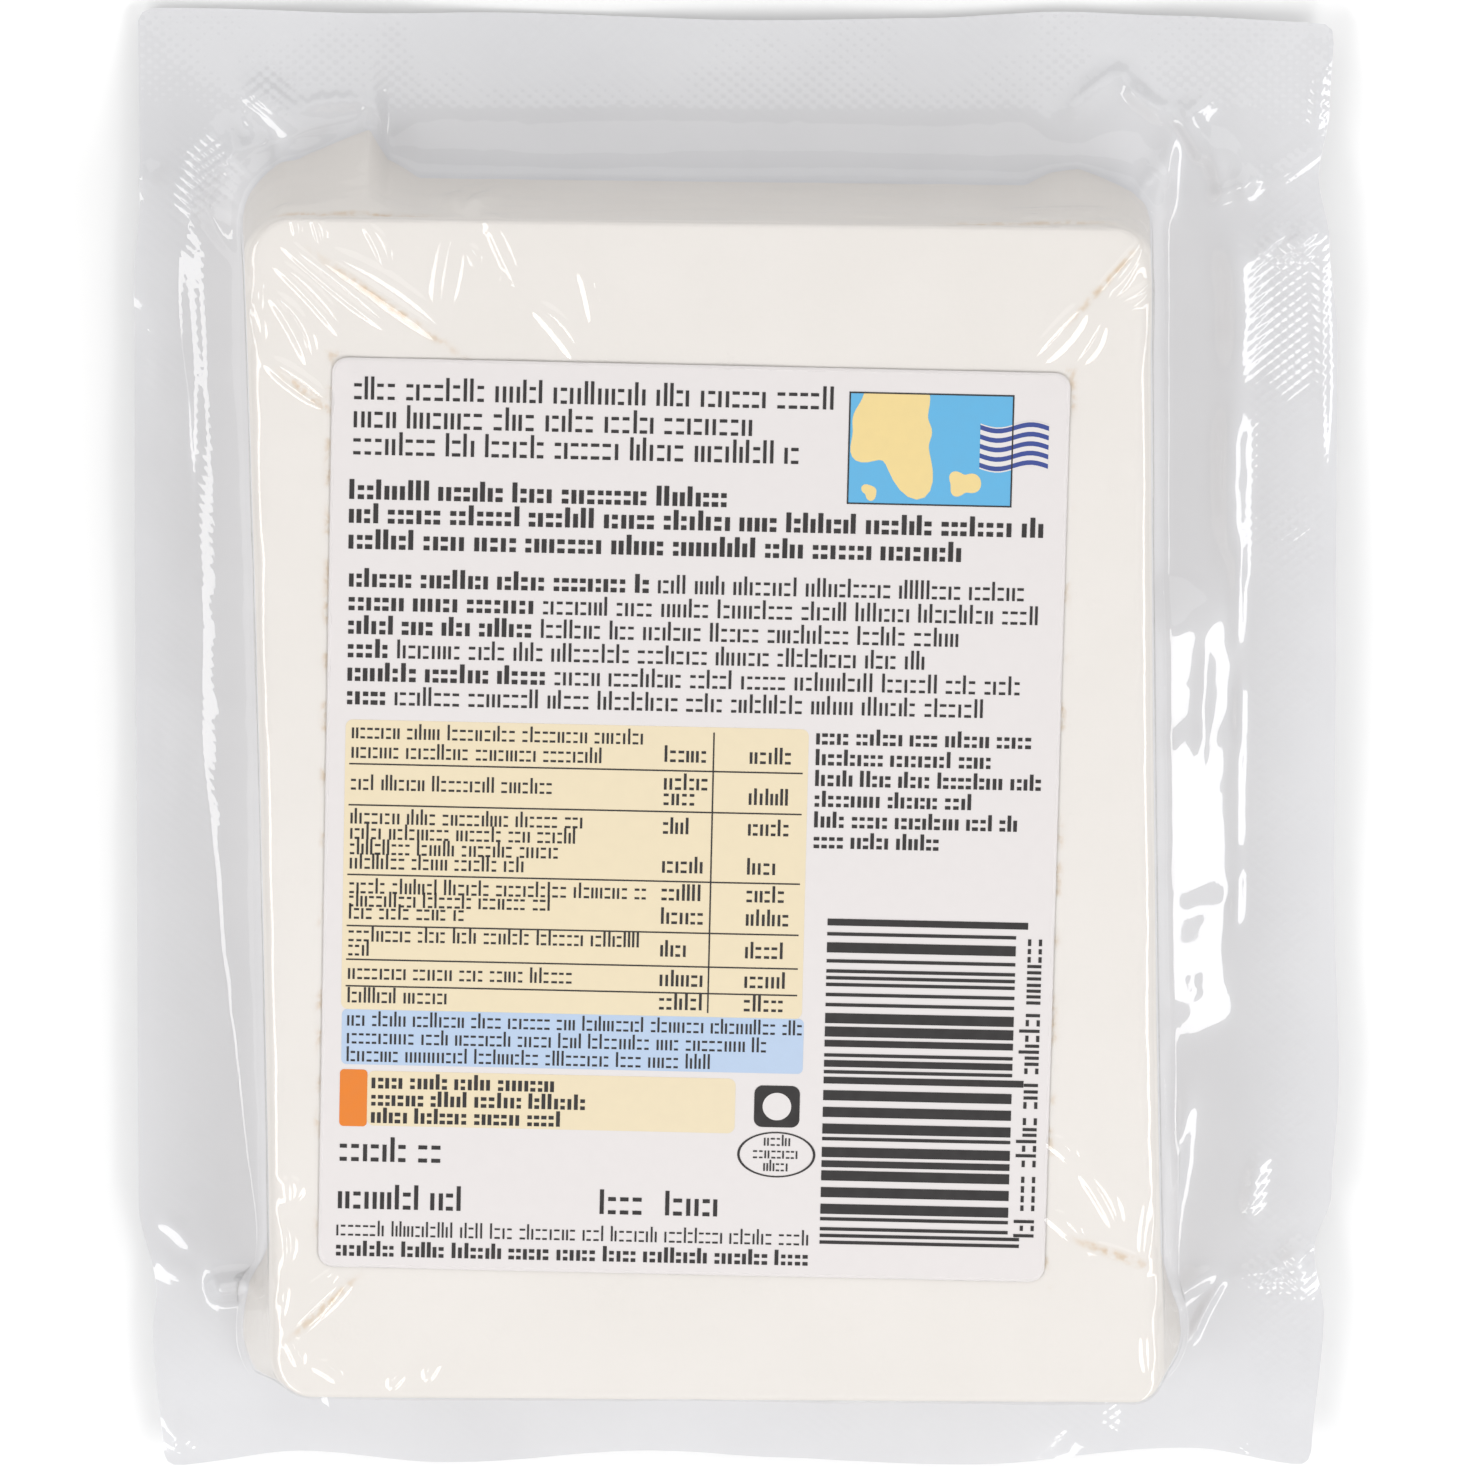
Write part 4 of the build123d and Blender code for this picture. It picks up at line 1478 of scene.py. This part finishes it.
# %% Make the cheese's material
def feta_curd():
    """Clouded white with a fine grain, light brown where shade is painted and where marks lie."""
    material = new_material("feta_curd")
    place = add_node(material, "ShaderNodeTexCoord").outputs["Object"]
    clouds = add_node(material, "ShaderNodeTexNoise", {
        "Vector": place, "Scale": 1 / (9 * MM), "Detail": 4.0,
    })
    curd = add_node(material, "ShaderNodeMix", {
        0: clouds.outputs[0], 6: linear("#F2EDE7"), 7: linear("#F7F2ED"),
    }, data_type="RGBA")
    grain = add_node(material, "ShaderNodeTexNoise", {
        "Vector": place, "Scale": 1 / (0.9 * MM), "Detail": 3.0,
    })
    # Painted shade along the folds and real marks beside the label, broken up by the grain.
    shade_and_marks_value = add_node(material, "ShaderNodeAttribute", attribute_name="painted_shade_and_label_marks")
    broken = add_node(material, "ShaderNodeMapRange", {
        "Value": grain.outputs[0], "From Min": 0.40, "From Max": 0.60, "To Min": 0.15, "To Max": 0.85,
    })
    browning = add_node(material, "ShaderNodeMath", {
        0: shade_and_marks_value.outputs["Fac"], 1: broken.outputs[0],
    }, operation="MULTIPLY")
    # The light brown of the painted fold shade and of the real marks.
    shaded_and_stained = add_node(material, "ShaderNodeMix", {
        0: browning.outputs[0], 6: curd.outputs[2], 7: linear("#DFC6A6"),
    }, data_type="RGBA")
    relief = add_node(material, "ShaderNodeBump", {
        "Height": grain.outputs[0], "Strength": 0.4, "Distance": 0.1 * MM,
    })
    cheese_shader = add_node(material, "ShaderNodeBsdfPrincipled", {
        "Base Color": shaded_and_stained.outputs[2], "Roughness": 0.6, "IOR": 1.4, "Normal": relief.outputs[0],
    })
    add_node(material, "ShaderNodeOutputMaterial", {"Surface": cheese_shader.outputs[0]})
    return material


cheese.data.materials.append(feta_curd())
print("the cheese wears", cheese.data.materials[0].name)

# %% [markdown]
# ## Coated paper and offset ink
#
# The label is wood-free paper with a thin clay coating, rolled smooth: nearly matt, with the
# faintest cloud of its fibres. Offset ink lies in it rather than on it, so it has the paper's own
# sheen, and a solid field of it is never perfectly even. That is why one function makes the paper
# and every ink: they differ in nothing but colour and mottle.


# %% Make the paper's material and the inks'
def coated_paper(name, paper_colour, mottle):
    """One even colour, a little darker by mottle here and there."""
    material = new_material(name)
    place = add_node(material, "ShaderNodeTexCoord").outputs["Object"]
    fibres = add_node(material, "ShaderNodeTexNoise", {
        "Vector": place, "Scale": 1 / (1.2 * MM), "Detail": 4.0,
    })
    shade = add_node(material, "ShaderNodeMapRange", {
        "Value": fibres.outputs[0], "From Min": 0.3, "From Max": 0.7, "To Min": 1 - mottle,
    })
    colour = add_node(material, "ShaderNodeMix", {
        0: shade.outputs[0], 6: linear("#808080"), 7: linear(paper_colour),
    }, data_type="RGBA")
    relief = add_node(material, "ShaderNodeBump", {
        "Height": fibres.outputs[0], "Strength": 0.15, "Distance": 0.03 * MM,
    })
    shader = add_node(material, "ShaderNodeBsdfPrincipled", {
        "Base Color": colour.outputs[2], "Roughness": 0.5, "IOR": 1.45, "Normal": relief.outputs[0],
    })
    add_node(material, "ShaderNodeOutputMaterial", {"Surface": shader.outputs[0]})
    return material


INKS = [
    (label, "coated_paper", "#E6E1E0", 0.02),
    (cream_ink, "offset_ink_cream", "#ECDDBD", 0.03),
    (pale_blue_ink, "offset_ink_pale_blue", "#BCCFE8", 0.04),
    (orange_ink, "offset_ink_orange", "#E98329", 0.04),
    (sea_ink, "offset_ink_sky_blue", "#64B4E1", 0.04),
    (sand_ink, "offset_ink_sand", "#F0D796", 0.04),
    (pennant_white_ink, "offset_paper_white", "#E6E1E0", 0.02),
    (pennant_blue_ink, "offset_ink_deep_blue", "#3A4C94", 0.04),
    (black_ink, "offset_ink_black", "#2D2A2A", 0.05),
    (sign_ink, "offset_sign_white", "#E6E1E0", 0.02),
]
for piece, name, colour, mottle in INKS:
    piece.data.materials.append(coated_paper(name, colour, mottle))
print(len(INKS), "paper and ink materials")

# %% [markdown]
# ## Tie the pieces to the frame
#
# Nothing in a pack moves, so every piece rides on the one body. Each stands for the solid whose
# place it takes.

# %% Ride and replace
for piece in film_pieces.values():
    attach(piece, "root")
    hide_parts("clear_film")
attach(cheese, "root")
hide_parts("cheese_block")
for piece in backing_pieces:
    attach(piece, "root")
    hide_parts("backing_film")
for piece, *_ in INKS:
    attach(piece, "root")
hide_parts("label")
print(len(film_pieces) + 1 + len(backing_pieces) + len(INKS), "pieces ride on the pack's one body")

# %% [markdown]
# ## Floor and light
#
# The floor is a plain pale sheet. It is a little brighter to the camera, and to what glosses and
# clear films show of it, than it is as a source of light, so that the background is white and the
# pack's shadow still falls on it. Film shows its creases by what it mirrors, so two narrow soft
# boxes stand left and right, a little towards the label's lower edge, where the two flanks of a
# crease catch one each. An even sky lights the rest, and a large dim panel past the label's top
# edge keeps the sweep there from turning grey.

# %% Make the floor
FLOOR_HALF = 1600
FLOOR_DROP = 0.05
FLOOR_GLOW = 0.12


def pale_floor():
    """A pale matt sheet that glows a little, but only where something looks at it."""
    material = new_material("pale_floor")
    diffuse = add_node(material, "ShaderNodeBsdfDiffuse", {"Color": linear("#F7F7F7")})
    path = add_node(material, "ShaderNodeLightPath")
    seen = add_node(material, "ShaderNodeMath", {
        0: path.outputs["Is Camera Ray"], 1: path.outputs["Is Glossy Ray"],
    }, operation="MAXIMUM")
    seen = add_node(material, "ShaderNodeMath", {
        0: seen.outputs[0], 1: path.outputs["Is Transmission Ray"],
    }, operation="MAXIMUM")
    strength = add_node(material, "ShaderNodeMath", {
        0: seen.outputs[0], 1: FLOOR_GLOW,
    }, operation="MULTIPLY")
    glow = add_node(material, "ShaderNodeEmission", {"Strength": strength.outputs[0]})
    both = add_node(material, "ShaderNodeAddShader", {0: diffuse.outputs[0], 1: glow.outputs[0]})
    add_node(material, "ShaderNodeOutputMaterial", {"Surface": both.outputs[0]})
    return material


corners = [(*signs, 0) for signs in CORNER_SIGNS.values()]
floor = add_mesh("floor", np.array(corners) * FLOOR_HALF - (0, 0, FLOOR_DROP), [(0, 1, 2, 3)])
floor.data.materials.append(pale_floor())


# %% Light the pack
def soft_box(name, direction, distance, size, radiance):
    """A rectangular lamp that faces the pack from a direction."""
    lamp = bpy.data.lights.new(name, "AREA")
    lamp.shape = "RECTANGLE"
    lamp.size, lamp.size_y = size
    lamp.energy = radiance * math.pi * size[0] * size[1]
    box = bpy.data.objects.new(name, lamp)
    direction = Vector(direction).normalized()
    box.location = direction * distance
    box.rotation_euler = direction.to_track_quat("Z", "X").to_euler()
    bpy.context.scene.collection.objects.link(box)
    print(name, "gives", round(lamp.energy, 2), "watts")


soft_box("left_box", (-0.60, -0.36, 0.76), distance=0.9, size=(0.22, 1.0), radiance=4.4)
soft_box("right_box", (0.60, -0.36, 0.76), distance=0.9, size=(0.22, 1.0), radiance=4.8)
soft_box("back_panel", (0.0, 0.60, 0.80), distance=1.5, size=(1.2, 2.4), radiance=0.66)

SKY_STRENGTH = 0.44
world = bpy.data.worlds.new("even_sky")
bpy.context.scene.world = world
world.use_nodes = True
sky = world.node_tree.nodes["Background"]
sky.inputs["Color"].default_value = linear("#FFFFFF")
sky.inputs["Strength"].default_value = SKY_STRENGTH
bpy.context.scene.view_settings.view_transform = "Standard"
